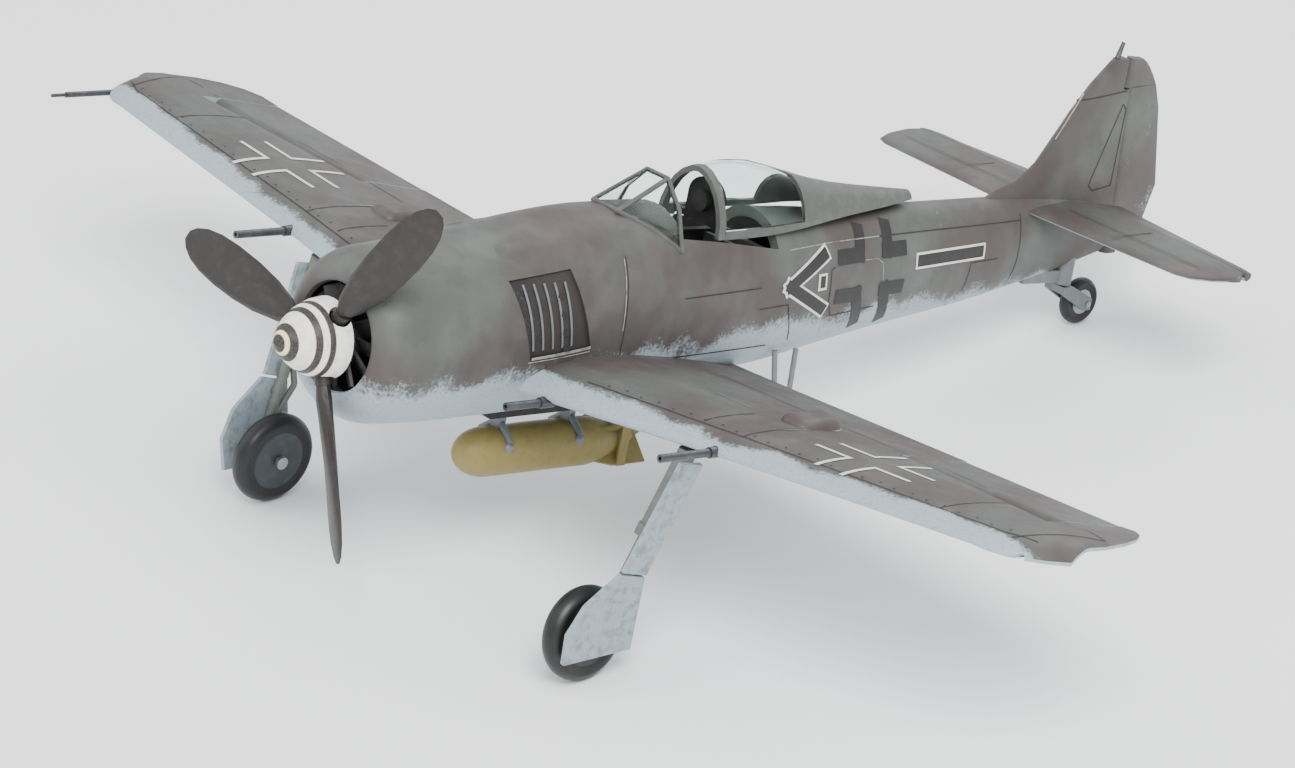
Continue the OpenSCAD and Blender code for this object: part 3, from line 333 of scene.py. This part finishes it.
def strip(path: Sequence[Flat], width: float, onto: Surface, lift: float) -> Mesh:
    """Lays a narrow strip along a path on a surface.

    Args:
        path: Corners of the path in the surface's own two measures.
        width: Width of the strip in millimetres.
        onto: Turns the two measures into a place on the surface.
        lift: Height of the strip above the surface.

    Returns:
        The strip as a mesh.
    """
    lines = Mesh()
    across = max(1, math.ceil(width / STRIP_CELL))
    last = len(path) - 2
    for n, ((a0, b0), (a1, b1)) in enumerate(zip(path, path[1:])):
        length = math.hypot(a1 - a0, b1 - b0)
        ua, ub = (a1 - a0) / length, (b1 - b0) / length
        start, end = (0.0 if n == 0 else -width / 2), length + (0.0 if n == last else width / 2)
        steps = max(1, int((end - start) / STRIP_STEP))
        rings = []
        for i in range(steps + 1):
            way = blend_values(start, end, i / steps)
            offsets = (width * (j / across - 0.5) for j in range(across + 1))
            a, b = a0 + ua * way, b0 + ub * way
            rings.append([raised(onto, a - ub * o, b + ua * o, lift) for o in offsets])
        lines.sheet(rings)
    return lines


def raised(onto: Surface, a: float, b: float, lift: float) -> Point:
    """Returns the place at two measures of a surface, lifted off it along its outward side."""
    here = Vector(onto(a, b))
    du = Vector(onto(a + NEAR, b)) - here
    dv = Vector(onto(a, b + NEAR)) - here
    normal = du.cross(dv)
    if normal.length < 1e-9:
        return tuple(here)
    normal.normalize()
    # On the body outward is away from the thrust line; further out along the span it is mostly up
    outward = Vector((here.x, 0, here.z if abs(here.x) < BODY_REACH else 5))
    if normal.dot(outward) < 0:
        normal.negate()
    return tuple(here + normal * lift)


def on_side(side: int) -> Surface:
    """Returns the surface of one side of the fuselage, measured by station and height."""
    return lambda y, z: (side * hull_side(y, z), y, z)


def on_wing(side: int, face: int = 1) -> Surface:
    """Returns the surface of one wing, measured by half span place and station."""

    def place(x: float, y: float) -> Point:
        """Returns the place on the wing's skin."""
        le_y, _, te_y, _ = wing_edges(x)
        point = wing_point(x, clamp((y - le_y) / (te_y - le_y), 0.001, 0.999), face)
        return (side * point[0], point[1], point[2])

    return place


# ---------------------------------------------------------------- finishes
Colour = tuple[float, float, float]


def rgb(code: str) -> Colour:
    """Turns a six-figure colour code into linear light."""
    parts = [int(code[i : i + 2], 16) / 255 for i in (0, 2, 4)]
    return tuple(p / 12.92 if p <= 0.04045 else ((p + 0.055) / 1.055) ** 2.4 for p in parts)


class Brush:
    """Builds one material's nodes, on places in flight millimetres."""

    SHEEN = 0.16

    def __init__(self, name: str, roughness: float = 0.55, metallic: float = 0.0) -> None:
        """Starts a material.

        Args:
            name: Name of the material.
            roughness: Roughness of its surface.
            metallic: Metallic share of its surface.
        """
        self.material = bpy.data.materials.new(name)
        self.material.use_nodes = True
        self.tree = self.material.node_tree
        self.shader = self.tree.nodes["Principled BSDF"]
        self.shader.inputs["Roughness"].default_value = roughness
        self.shader.inputs["Metallic"].default_value = metallic
        self.shader.inputs["IOR"].default_value = 1.45
        coords = self.tree.nodes.new("ShaderNodeTexCoord")
        place = self.tree.nodes.new("ShaderNodeMapping")
        place.inputs["Scale"].default_value = (1 / MM,) * 3
        place.inputs["Rotation"].default_value = (SIT_ANGLE, 0, 0)
        cos, sin = math.cos(SIT_ANGLE), math.sin(SIT_ANGLE)
        place.inputs["Location"].default_value = (
            0,
            MODEL_LENGTH / 2 * cos + GROUND_DROP * sin,
            MODEL_LENGTH / 2 * sin - GROUND_DROP * cos,
        )
        self.link(coords.outputs["Object"], place.inputs["Vector"])
        self.place = place.outputs["Vector"]
        split = self.tree.nodes.new("ShaderNodeSeparateXYZ")
        self.link(self.place, split.inputs[0])
        self.x, self.y, self.z = split.outputs

    def link(self, source: Socket, target: Socket) -> None:
        """Joins two sockets."""
        self.tree.links.new(source, target)

    def _feed(self, value: Socket | float | Sequence[float], target: Socket) -> None:
        """Puts a socket or a plain value into an input."""
        if isinstance(value, bpy.types.NodeSocket):
            self.link(value, target)
        elif isinstance(value, (int, float)):
            target.default_value = value
        else:
            target.default_value = (*value, 1.0) if len(value) == 3 and target.type == "RGBA" else value

    def math(self, how: str, *values: Socket | float) -> Socket:
        """Adds a math node.

        Args:
            how: Name of the operation.
            values: What goes into it.

        Returns:
            The result.
        """
        node = self.tree.nodes.new("ShaderNodeMath")
        node.operation = how
        for i, value in enumerate(values):
            self._feed(value, node.inputs[i])
        return node.outputs[0]

    def noise(self, scale: float, detail: float = 2.0, rough: float = 0.5) -> Socket:
        """Adds noise with a grain of about 1/scale millimetres."""
        node = self.tree.nodes.new("ShaderNodeTexNoise")
        self.link(self.place, node.inputs["Vector"])
        node.inputs["Scale"].default_value = scale
        node.inputs["Detail"].default_value = detail
        node.inputs["Roughness"].default_value = rough
        return node.outputs["Fac"]

    def ramp(self, value: Socket | float, low: float, high: float) -> Socket:
        """Returns a soft step from 0 at low to 1 at high."""
        node = self.tree.nodes.new("ShaderNodeMapRange")
        node.interpolation_type = "SMOOTHSTEP"
        self._feed(value, node.inputs["Value"])
        node.inputs["From Min"].default_value = low
        node.inputs["From Max"].default_value = high
        return node.outputs[0]

    def mix(self, share: Socket | float, a: Socket | Colour, b: Socket | Colour) -> Socket:
        """Returns colour a turned towards colour b by a share."""
        node = self.tree.nodes.new("ShaderNodeMix")
        node.data_type = "RGBA"
        self._feed(share, node.inputs["Factor"])
        self._feed(a, node.inputs["A"])
        self._feed(b, node.inputs["B"])
        return node.outputs["Result"]

    def facing_up(self) -> Socket:
        """Returns how far the surface faces up in flight axes, from -1 to 1."""
        geometry = self.tree.nodes.new("ShaderNodeNewGeometry")
        dot = self.tree.nodes.new("ShaderNodeVectorMath")
        dot.operation = "DOT_PRODUCT"
        self.link(geometry.outputs["True Normal"], dot.inputs[0])
        dot.inputs[1].default_value = (0, math.sin(SIT_ANGLE), math.cos(SIT_ANGLE))
        return dot.outputs["Value"]

    def finish(self, colour: Socket | Colour, grain: float) -> bpy.types.Material:
        """Gives the material its colour and a fine sprayed grain.

        Args:
            colour: Colour of the surface.
            grain: Strength of the grain.

        Returns:
            The finished material.
        """
        self._feed(colour, self.shader.inputs["Base Color"])
        relief = self.tree.nodes.new("ShaderNodeBump")
        relief.inputs["Strength"].default_value = grain
        relief.inputs["Distance"].default_value = 0.03 * MM
        height = self.noise(5.0, 3.0, 0.6)
        self.link(height, relief.inputs["Height"])
        self.link(relief.outputs["Normal"], self.shader.inputs["Normal"])
        base = self.shader.inputs["Roughness"].default_value - self.SHEEN / 2
        sheen = self.math("MULTIPLY_ADD", self.noise(0.6, 3), self.SHEEN, base)
        self.link(sheen, self.shader.inputs["Roughness"])
        return self.material


class Region(Enum):
    """Which part of the airframe a camouflage covers."""

    BODY = "body"
    WING = "wing"
    TAIL = "tail"


@dataclass(frozen=True)
class Camouflage:
    """Sprayed dark top colours, softly mottled, over a light underside."""

    region: Region
    brown: Colour = rgb("453d3b")
    green: Colour = rgb("4d504c")
    light: Colour = rgb("98a7ad")
    dark: Colour = rgb("373231")

    def material(self) -> bpy.types.Material:
        """Builds the material."""
        b = Brush("camouflage_" + self.region.value, 0.52)
        broad = b.ramp(b.noise(0.075, 2.0, 0.4), 0.40, 0.60)
        mottle = b.ramp(b.noise(0.30, 3.0, 0.55), 0.47, 0.62)
        speckle = b.noise(2.6, 2.0, 0.7)
        fine = b.noise(9.0, 2.0, 0.6)
        top = b.mix(broad, self.brown, self.green)
        top = b.mix(b.math("MULTIPLY", mottle, 0.22), top, self.dark)
        top = b.mix(b.math("MULTIPLY", b.ramp(b.noise(0.2, 2.0), 0.45, 0.7), 0.14), top, rgb("7b807c"))
        under = b.mix(b.math("MULTIPLY", b.ramp(speckle, 0.5, 0.7), 0.3), self.light, rgb("6f777b"))
        edge = b.math("ADD", self.edge(b), b.math("MULTIPLY", b.math("SUBTRACT", speckle, 0.5), 0.9))
        edge = b.math("ADD", edge, b.math("MULTIPLY", b.math("SUBTRACT", b.noise(0.22, 2.0), 0.5), 1.6))
        colour = b.mix(b.ramp(edge, -0.22, 0.3), under, top)
        colour = b.mix(b.math("MULTIPLY", b.ramp(fine, 0.35, 0.75), 0.22), colour, rgb("2e2c2b"))
        return b.finish(colour, 0.2)

    def edge(self, b: Brush) -> Socket:
        """Returns how far a place lies inside the dark top colours, about -1 to 1."""
        if self.region is Region.BODY:
            line = b.math("MULTIPLY_ADD", b.y, 0.03, -3.4)
            return b.math("MULTIPLY", b.math("SUBTRACT", b.z, line), 0.28)
        up = b.facing_up()
        if self.region is Region.WING:
            span = b.math("ABSOLUTE", b.x)
            front = b.math("SUBTRACT", b.y, b.math("MULTIPLY_ADD", span, 0.09, 25.9))
            front = b.math("MULTIPLY_ADD", front, 0.55, -0.55)
            return b.math("MINIMUM", b.math("MULTIPLY", b.math("ADD", up, -0.1), 3.0), front)
        return b.math("MULTIPLY", b.math("ADD", up, 0.25), 2.0)


@dataclass(frozen=True)
class Paint:
    """One sprayed colour with a little wear and mottling."""

    name: str
    colour: Colour
    worn: Colour
    roughness: float = 0.55
    metallic: float = 0.0
    wear: float = 0.25
    grain: float = 0.25

    def material(self) -> bpy.types.Material:
        """Builds the material."""
        b = Brush(self.name, self.roughness, self.metallic)
        patch = b.math("MULTIPLY", b.ramp(b.noise(0.9, 4.0, 0.6), 0.45, 0.7), self.wear)
        fleck = b.math("MULTIPLY", b.ramp(b.noise(6.0, 2.0, 0.7), 0.55, 0.75), self.wear)
        colour = b.mix(patch, self.colour, self.worn)
        colour = b.mix(fleck, colour, self.worn)
        return b.finish(colour, self.grain)


@dataclass(frozen=True)
class SpiralPaint:
    """White spinner with dark bands that wind round it."""

    bands: tuple[Flat, ...] = ((-1.0, 1.6), (2.9, 3.55), (4.15, 4.75))
    blur: float = 0.08

    def material(self) -> bpy.types.Material:
        """Builds the material."""
        b = Brush("spinner_spiral", 0.5)
        turn = b.math("DIVIDE", b.math("ARCTAN2", b.z, b.x), 2 * math.pi)
        wave = b.math("ADD", b.y, b.math("MULTIPLY", turn, 0.5))
        dark = b.mix(b.ramp(b.noise(4.0, 3.0), 0.4, 0.6), rgb("26221f"), rgb("3a3632"))
        white = b.mix(b.ramp(b.noise(1.2, 3.0), 0.4, 0.75), rgb("e9e7e0"), rgb("cfcdc4"))
        colour = white
        for low, high in self.bands:
            before = b.math("SUBTRACT", 1.0, b.ramp(wave, high, high + self.blur))
            inside = b.math("MULTIPLY", b.ramp(wave, low, low + self.blur), before)
            colour = b.mix(inside, colour, dark)
        curl = b.math("SUBTRACT", 1.0, b.ramp(b.math("ABSOLUTE", b.math("SUBTRACT", wave, 0.85)), 0.12, 0.2))
        return b.finish(b.mix(curl, colour, rgb("e3dcae")), 0.15)


@dataclass(frozen=True)
class SootPaint:
    """Exhaust panel blackened towards its back edge."""

    def material(self) -> bpy.types.Material:
        """Builds the material."""
        b = Brush("exhaust_soot", 0.65)
        soot = b.ramp(b.math("ADD", b.y, b.math("MULTIPLY", b.noise(0.8, 4.0), 4.0)), 25.0, 31.0)
        colour = b.mix(b.ramp(b.noise(2.5, 4.0, 0.7), 0.5, 0.8), rgb("1b1918"), rgb("47423d"))
        return b.finish(b.mix(soot, colour, rgb("2b2725")), 0.3)


@dataclass(frozen=True)
class ClearPlastic:
    """Thin clear moulding with a faint cool tint."""

    tint: Colour = (0.90, 0.97, 0.96)

    def material(self) -> bpy.types.Material:
        """Builds the material."""
        b = Brush("clear_moulding", 0.04)
        for name, value in (("Transmission Weight", 1.0), ("Specular IOR Level", 0.5)):
            b.shader.inputs[name].default_value = value
        b.shader.inputs["IOR"].default_value = 1.12
        haze = b.mix(b.ramp(b.noise(0.4, 2.0), 0.3, 0.8), self.tint, (0.86, 0.94, 0.93))
        b.link(haze, b.shader.inputs["Base Color"])
        b.link(b.math("MULTIPLY_ADD", b.noise(0.7, 2.0), 0.05, 0.02), b.shader.inputs["Roughness"])
        return b.material


class Finishes:
    """Every finish of the model, built once."""

    def __init__(self) -> None:
        """Builds all the materials."""
        self.body = Camouflage(Region.BODY).material()
        self.wing = Camouflage(Region.WING).material()
        self.tail = Camouflage(Region.TAIL).material()
        self.spinner = SpiralPaint().material()
        self.soot = SootPaint().material()
        self.clear = ClearPlastic().material()
        self.hood = Paint("hood_paint", rgb("4a4c48"), rgb("6a6d68"), 0.5, wear=0.3).material()
        self.interior = Paint("interior", rgb("2e302e"), rgb("4b4e4a"), 0.6).material()
        self.leg = Paint("leg_grey", rgb("596059"), rgb("7b827c"), 0.45).material()
        self.door = Paint("door_blue", rgb("8b99a0"), rgb("5e5a56"), 0.5, wear=0.6).material()
        self.hub = Paint("hub_grey", rgb("33383a"), rgb("50565a"), 0.5).material()
        self.tyre = Paint("tyre_black", rgb("141414"), rgb("232323"), 0.42).material()
        self.blade = Paint("blade_black", rgb("1f1b19"), rgb("37322e"), 0.5, wear=0.3).material()
        self.black = Paint("matt_black", rgb("161515"), rgb("2b2a29"), 0.55).material()
        self.gun = Paint("gun_metal", rgb("4c4d50"), rgb("7a7b7d"), 0.38, 0.75).material()
        self.silver = Paint("silver", rgb("a3a6a8"), rgb("7d8083"), 0.32, 0.85).material()
        self.cast = Paint("cast_grey", rgb("6d7173"), rgb("909496"), 0.45, 0.4).material()
        self.ochre = Paint("bomb_ochre", rgb("857642"), rgb("62562f"), 0.5, wear=0.3).material()
        self.line = Paint("panel_line", rgb("242120"), rgb("37322f"), 0.7, wear=0.5).material()
        self.worn_line = Paint("worn_line", rgb("8d8f8c"), rgb("54514e"), 0.5, wear=0.9).material()
        self.chipped = Paint("chipped_edge", rgb("a9a293"), rgb("55504c"), 0.4, 0.3, wear=1.0).material()
        self.mark_black = Paint("marking_black", rgb("1a1919"), rgb("2f2d2c"), 0.5).material()
        self.mark_white = Paint("marking_white", rgb("d3d3cd"), rgb("a9aaa5"), 0.5, wear=0.3).material()


# ---------------------------------------------------------------- assemblies
SCALE = 1000 / 72


@dataclass
class Studio:
    """Camera, lights and floor."""

    lens: float = 153.3
    sensor: float = 36.0
    eye: Point = (27.067 * SCALE, -24.137 * SCALE, 11.600 * SCALE)
    target: Point = (0.5389 * SCALE, 3.1535 * SCALE, -0.3734 * SCALE)
    roll: float = math.radians(0.80)

    def build(self) -> None:
        """Builds the floor, the lights and the camera."""
        self.floor()
        self.light("key", (0.50, -0.32, 0.70), 0.42, 11.0)
        self.light("fill", (-0.5, -0.5, 0.6), 0.9, 3.0)
        self.light("back", (-0.2, 0.75, 0.6), 0.6, 3.0)
        world = bpy.data.worlds.new("studio")
        bpy.context.scene.world = world
        world.use_nodes = True
        shade = world.node_tree.nodes["Background"]
        shade.inputs["Color"].default_value = (0.95, 0.97, 1.0, 1)
        shade.inputs["Strength"].default_value = 1.15
        self.camera()

    def floor(self) -> None:
        """Lays the plain pale floor."""
        work = bmesh.new()
        bmesh.ops.create_grid(work, x_segments=8, y_segments=8, size=3.0)
        mesh = bpy.data.meshes.new("floor")
        work.to_mesh(mesh)
        work.free()
        floor = bpy.data.objects.new("floor", mesh)
        bpy.context.scene.collection.objects.link(floor)
        brush = Brush("floor", 0.9)
        mesh.materials.append(brush.finish(brush.mix(brush.noise(0.02), rgb("fbfbfb"), rgb("f8f8f8")), 0.0))

    def light(self, name: str, place: Point, size: float, power: float) -> None:
        """Hangs one soft lamp that looks at the model.

        Args:
            name: Name of the lamp.
            place: Where it hangs, in metres.
            size: Width of the lamp.
            power: Its power in watts.
        """
        data = bpy.data.lights.new(name, "AREA")
        data.size, data.energy = size, power
        lamp = bpy.data.objects.new(name, data)
        lamp.location = place
        lamp.rotation_euler = (-Vector(place)).to_track_quat("-Z", "Y").to_euler()
        bpy.context.scene.collection.objects.link(lamp)

    def camera(self) -> None:
        """Sets the camera up."""
        data = bpy.data.cameras.new("camera")
        data.lens, data.sensor_width = self.lens, self.sensor
        data.clip_start, data.clip_end = 0.01, 20
        camera = bpy.data.objects.new("camera", data)
        eye, target = stand(*self.eye), stand(*self.target)
        look = (target - eye).to_track_quat("-Z", "Y").to_matrix()
        camera.matrix_world = Matrix.Translation(eye) @ (look @ Matrix.Rotation(self.roll, 3, "Z")).to_4x4()
        bpy.context.scene.collection.objects.link(camera)
        bpy.context.scene.camera = camera


def paint_node(nodes: dict[str, bpy.types.Object], name: str, finish: bpy.types.Material) -> None:
    """Puts a finish on a CAD node.

    Args:
        nodes: The CAD nodes by name.
        name: Which node.
        finish: Its material.
    """
    slots = nodes[name].data.materials
    if slots:
        for i in range(len(slots)):
            slots[i] = finish
    else:
        slots.append(finish)


def soften(mesh: bpy.types.Mesh, crease: float = 40.0) -> None:
    """Gives a mesh corner normals that run smoothly over its facets and break at creases.

    Args:
        mesh: The mesh to shade.
        crease: Angle in degrees above which an edge stays sharp.
    """
    around: list[list[int]] = [[] for _ in mesh.vertices]
    for face in mesh.polygons:
        for corner in face.vertices:
            around[corner].append(face.index)
    flat = [(face.normal.copy(), face.area) for face in mesh.polygons]
    limit = math.cos(math.radians(crease))
    normals = []
    for face in mesh.polygons:
        own = flat[face.index][0]
        for corner in face.vertices:
            total = Vector((0, 0, 0))
            for other in around[corner]:
                if flat[other][0].dot(own) > limit:
                    total += flat[other][0] * flat[other][1]
            normals.append(total.normalized() if total.length > 0 else own)
    mesh.polygons.foreach_set("use_smooth", [True] * len(mesh.polygons))
    mesh.normals_split_custom_set(normals)


@dataclass
class Builder:
    """What every assembly needs to build itself."""

    nodes: dict[str, bpy.types.Object]
    bodies: dict[str, str]
    slots: dict[str, str]
    finish: Finishes

    def cover(self, name: str, finish: bpy.types.Material) -> None:
        """Draws a smooth skin in place of one CAD node.

        Args:
            name: The CAD node.
            finish: Material of the skin.
        """
        mesh = self.nodes[name].data.copy()
        mesh.name = name + "_skin"
        work = bmesh.new()
        work.from_mesh(mesh)
        bmesh.ops.remove_doubles(work, verts=work.verts, dist=SKIN_WELD)
        work.to_mesh(mesh)
        work.free()
        soften(mesh)
        mesh.materials.clear()
        mesh.materials.append(finish)
        skin = bpy.data.objects.new(name + "_skin", mesh)
        bpy.context.scene.collection.objects.link(skin)
        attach(skin, self.bodies[name])
        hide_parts(name)
        LOG.info("%s: smooth skin of %d faces", name, len(mesh.polygons))

    def lay(self, name: str, mesh: Mesh, finish: bpy.types.Material, slot: str = "camouflage") -> None:
        """Adds thin painted or scribed strips to the airframe as one piece."""
        make_piece(name, mesh.verts, mesh.faces, "airframe", finish)


def gather(paths: Sequence[Sequence[Flat]], width: float, surfaces: Sequence[Surface], lift: float) -> Mesh:
    """Lays strips along several paths on several surfaces.

    Args:
        paths: The paths, in the surfaces' own measures.
        width: Width of the strips.
        surfaces: The surfaces that carry every path.
        lift: Height above the surface.

    Returns:
        All the strips as one mesh.
    """
    lines = Mesh()
    for onto in surfaces:
        for path in paths:
            part = strip(path, width, onto, lift)
            lines.add(part.verts, part.faces)
    return lines


def fin_side(side: int) -> Surface:
    """Returns one side of the fin and rudder, measured by station and height."""

    def place(y: float, z: float) -> Point:
        """Returns the place on the fin's skin."""
        front, hinge, half = along(FIN_EDGE, z, 1), rudder_hinge(z), rudder_nose(z)
        if y > hinge:
            share = clamp((y - hinge) / RUDDER_CHORD, 0, 1)
            return (side * blend_values(half, RUDDER_EDGE, share), y, z)
        u = clamp((y - front) / (hinge - front), 0.001, 1)
        return (side * half * min(1.0, 1.75 * math.sqrt(u) - 0.75 * u), y, z)

    return place


def tail_top(side: int) -> Surface:
    """Returns the upper face of one tailplane, measured by half span place and station."""
    return lambda x, y: (side * x, y, TAIL_Z + blend_values(*TAIL_THICK, x / TAIL_HALF))


@dataclass
class WingMarkings:
    """White corner marks, panel lines and fastener dots of the wings."""

    builder: Builder
    centre: Flat = (44.8, 37.85)
    gap: float = 1.7
    arm: float = 4.6
    band: float = 0.5
    dot: float = 0.22
    line: float = 0.13

    def build(self) -> None:
        """Lays every mark and line on both wings."""
        wings = [on_wing(1), on_wing(-1)]
        x, y = self.centre
        corners = [
            [(x + a * (self.gap + self.arm), y + b * self.gap), (x + a * self.gap, y + b * self.gap),
             (x + a * self.gap, y + b * (self.gap + self.arm))]
            for a in (1, -1) for b in (1, -1)
        ]
        finish = self.builder.finish
        self.builder.lay("wing_corner_marks", gather(corners, self.band, wings, 0.045), finish.mark_white)
        front = [(x, wing_edges(x)[0] + 2.7) for x in (14, 24, 34, 46, 58, 66, 69)]
        lines = [
            front,
            [(58.3, front[4][1]), (58.3, 43.6)],
            [(33.5, front[2][1]), (33.5, 41.0)],
            [(28.2, front[2][1]), (28.2, 38.0)],
            [(41.4, 46.5), (26.0, 47.6), (12.5, 48.8)],
            [(64.4, 43.5), (70.3, 42.8)],
            [(67.2, 33.0), (68.6, 38.0), (70.2, 42.6)],
            [(46.0, 46.5), (52.5, 45.4)],
        ]
        self.builder.lay("wing_panel_lines", gather(lines, self.line, wings, 0.03), finish.line)
        worn = [[(33.7, 36.5), (33.7, 40.6)], [(20, 40), (26, 39.6)]]
        self.builder.lay("wing_worn_lines", gather(worn, 0.1, wings, 0.04), finish.worn_line)
        rows = [(x, wing_edges(x)[0] + 3.3 + 0.3 * (n % 2)) for n, x in enumerate(range(16, 68, 2))]
        dots = [[(x, y), (x + self.dot, y)] for x, y in rows]
        self.builder.lay("wing_fasteners", gather(dots, self.dot, wings, 0.03), finish.line)


@dataclass
class BodyMarkings:
    """Dark marks, bar, panel lines and hatches of the fuselage and fin."""

    builder: Builder
    band: float = 1.55
    stroke: float = 1.25
    border: float = 0.5
    hole: float = 0.5
    line: float = 0.13

    def build(self) -> None:
        """Lays every mark and line on both sides."""
        sides = [on_side(1), on_side(-1)]
        finish = self.builder.finish
        corners = [
            [(74.9, 8.3), (74.4, 5.5), (70.95, 5.45)],
            [(79.3, 8.4), (78.8, 5.6), (82.0, 5.6)],
            [(70.95, 1.35), (74.3, 1.4), (75.95, -2.6)],
            [(82.0, 1.55), (78.8, 1.55), (80.4, -2.55)],
        ]
        self.builder.lay("side_corner_marks", gather(corners, self.band, sides, 0.05), finish.mark_black)
        bordered = [
            [(69.3, 6.2), (63.5, 3.15), (69.6, 0.05)],
            [(83.85, 4.05), (94.8, 4.2)],
            [(68.2, 3.22), (69.0, 3.25)],
        ]
        edges = [
            [(69.45, 6.3), (63.4, 3.15), (69.75, -0.02)],
            [(83.6, 4.05), (95.05, 4.2)],
            [(67.9, 3.2), (69.25, 3.25)],
        ]
        outline = gather(edges, self.stroke + self.border, sides, 0.04)
        self.builder.lay("side_mark_edges", outline, finish.mark_white)
        self.builder.lay("side_marks", gather(bordered, self.stroke, sides, 0.06), finish.mark_black)
        lines = [
            [(38.9, -5.2), (38.9, 8.2)],
            [(59.1, 1.2), (63.5, 1.3), (65.3, -3.0)],
            [(77.8, 7.0), (94.5, 6.9), (101, 6.9)],
            [(101, -1.5), (101, 7.6)],
            [(47.5, 3.4), (59.0, 3.5)],
            [(70.5, 4.6), (69.9, 4.3), (70.0, 1.0), (70.9, -0.7), (78.0, -0.4)],
            [(45.0, -3.0), (62.0, -3.2)],
            [(93.0, -0.4), (93.0, 3.0), (97.5, 3.1)],
        ]
        self.builder.lay("body_panel_lines", gather(lines, self.line, sides, 0.03), finish.line)
        turns = [step * math.pi / 6 for step in range(13)]
        faint = [
            [(63.5, 6.8), (70.4, 7.0), (77.8, 7.0)],
            [(75.3, 4.9), (77.2, 4.9), (78.1, 4.4), (78.4, 2.5)],
            [(87.9, 7.2), (88.0, 8.5)],
            [(80.8 + self.hole * math.cos(t), -0.3 + self.hole * math.sin(t)) for t in turns],
        ]
        self.builder.lay("body_faint_lines", gather(faint, 0.09, sides, 0.045), finish.worn_line)
        worn = [[(38.6, 1.0), (38.6, 8.0)], [(25.2, -0.9), (34.0, -0.6)]]
        self.builder.lay("body_worn_lines", gather(worn, 0.12, sides, 0.05), finish.chipped)
        fins = [fin_side(1), fin_side(-1)]
        hatch = [(115.4, 18.9), (112.4, 9.75), (113.2, 9.1), (116.0, 9.6), (116.0, 18.3), (115.4, 18.9)]
        lines = [hatch, [(108.4, 19.4), (115.6, 20.4)]]
        self.builder.lay("fin_panel_lines", gather(lines, self.line, fins, 0.03), finish.line)
        seam = [[(109.2, 20.2), (106.0, 15.2)]]
        self.builder.lay("fin_edge_seam", gather(seam, 0.12, fins, 0.04), finish.chipped)
        tops = [tail_top(1), tail_top(-1)]
        lines = [[(3.5, 107.0), (22.5, 107.4)], [(12, 104.5), (12, 111.2)]]
        self.builder.lay("tailplane_lines", gather(lines, self.line, tops, 0.01), finish.line)


@dataclass
class Exhaust:
    """Upright louvres on the blackened exhaust panels."""

    builder: Builder
    first: float = 25.8
    step: float = 1.35
    count: int = 5
    lean: float = 1.1

    def build(self) -> None:
        """Lays the louvres and the light lower lip."""
        sides = [on_side(1), on_side(-1)]
        feet = [self.first + self.step * i for i in range(self.count)]
        louvres = gather([[(foot, 0.2), (foot - self.lean, 6.6)] for foot in feet], 0.28, sides, -0.16)
        self.builder.lay("exhaust_louvres", louvres, self.builder.finish.cast, slot="soot_black")
        lip = [[(25.6, -0.55), (34.0, -0.2)]]
        self.builder.lay("exhaust_lip", gather(lip, 0.3, sides, 0.04), self.builder.finish.worn_line)


def main() -> None:
    """Builds the whole model."""
    logging.basicConfig(level=logging.INFO, format="%(message)s")
    random.seed(7)
    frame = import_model()
    finish = Finishes()
    nodes = frame["nodes"]
    Studio().build()
    looks = {
        finish.body: ("fuselage_port", "fuselage_starboard", "engine_cowl", "cowl_ring", "gun_cover"),
        finish.wing: (
            "wing_upper_port", "wing_upper_starboard", "wing_lower", "aileron_port", "aileron_starboard",
            "wing_blisters",
        ),
        finish.tail: ("tailplanes", "elevator_port", "elevator_starboard", "rudder"),
        finish.spinner: ("spinner",),
        finish.soot: ("exhaust_port", "exhaust_starboard"),
        finish.clear: ("windscreen_glass", "hood_glass"),
        finish.hood: ("windscreen_frame", "hood_frame", "hood_fairing"),
        finish.interior: ("cockpit_tub", "seat"),
        finish.leg: ("gear_leg_port", "gear_leg_starboard"),
        finish.door: ("gear_door_port", "gear_door_starboard"),
        finish.hub: ("wheel_hub_port", "wheel_hub_starboard"),
        finish.tyre: ("tyre_port", "tyre_starboard", "tail_tyre"),
        finish.blade: ("blades",),
        finish.black: (
            "cooling_fan", "prop_hub", "instrument_panel", "gunsight", "control_stick", "head_armour",
            "bomb_rack", "engine_front",
        ),
        finish.gun: ("root_guns", "wing_guns", "pitot_tube", "aerial_mast", "shaft_retainer", "prop_shaft"),
        finish.silver: ("tail_hub", "axle_port", "axle_starboard", "tail_axle"),
        finish.cast: ("tail_leg", "tail_fork", "boarding_step", "sway_braces"),
        finish.ochre: ("bomb", "bomb_fins"),
    }
    record = frame["record"]
    bodies = {node: body for body, group in record["behaviour"]["bodies"].items() for node in group}
    slots = {node: SLOT_OF.get(node, "camouflage") for node in bodies}
    builder = Builder(nodes, bodies, slots, finish)
    for material, names in looks.items():
        for name in names:
            if name in TURNED:
                paint_node(nodes, name, material)
            else:
                builder.cover(name, material)
    for assembly in (WingMarkings(builder), BodyMarkings(builder), Exhaust(builder)):
        assembly.build()


if __name__ == "__main__":
    main()
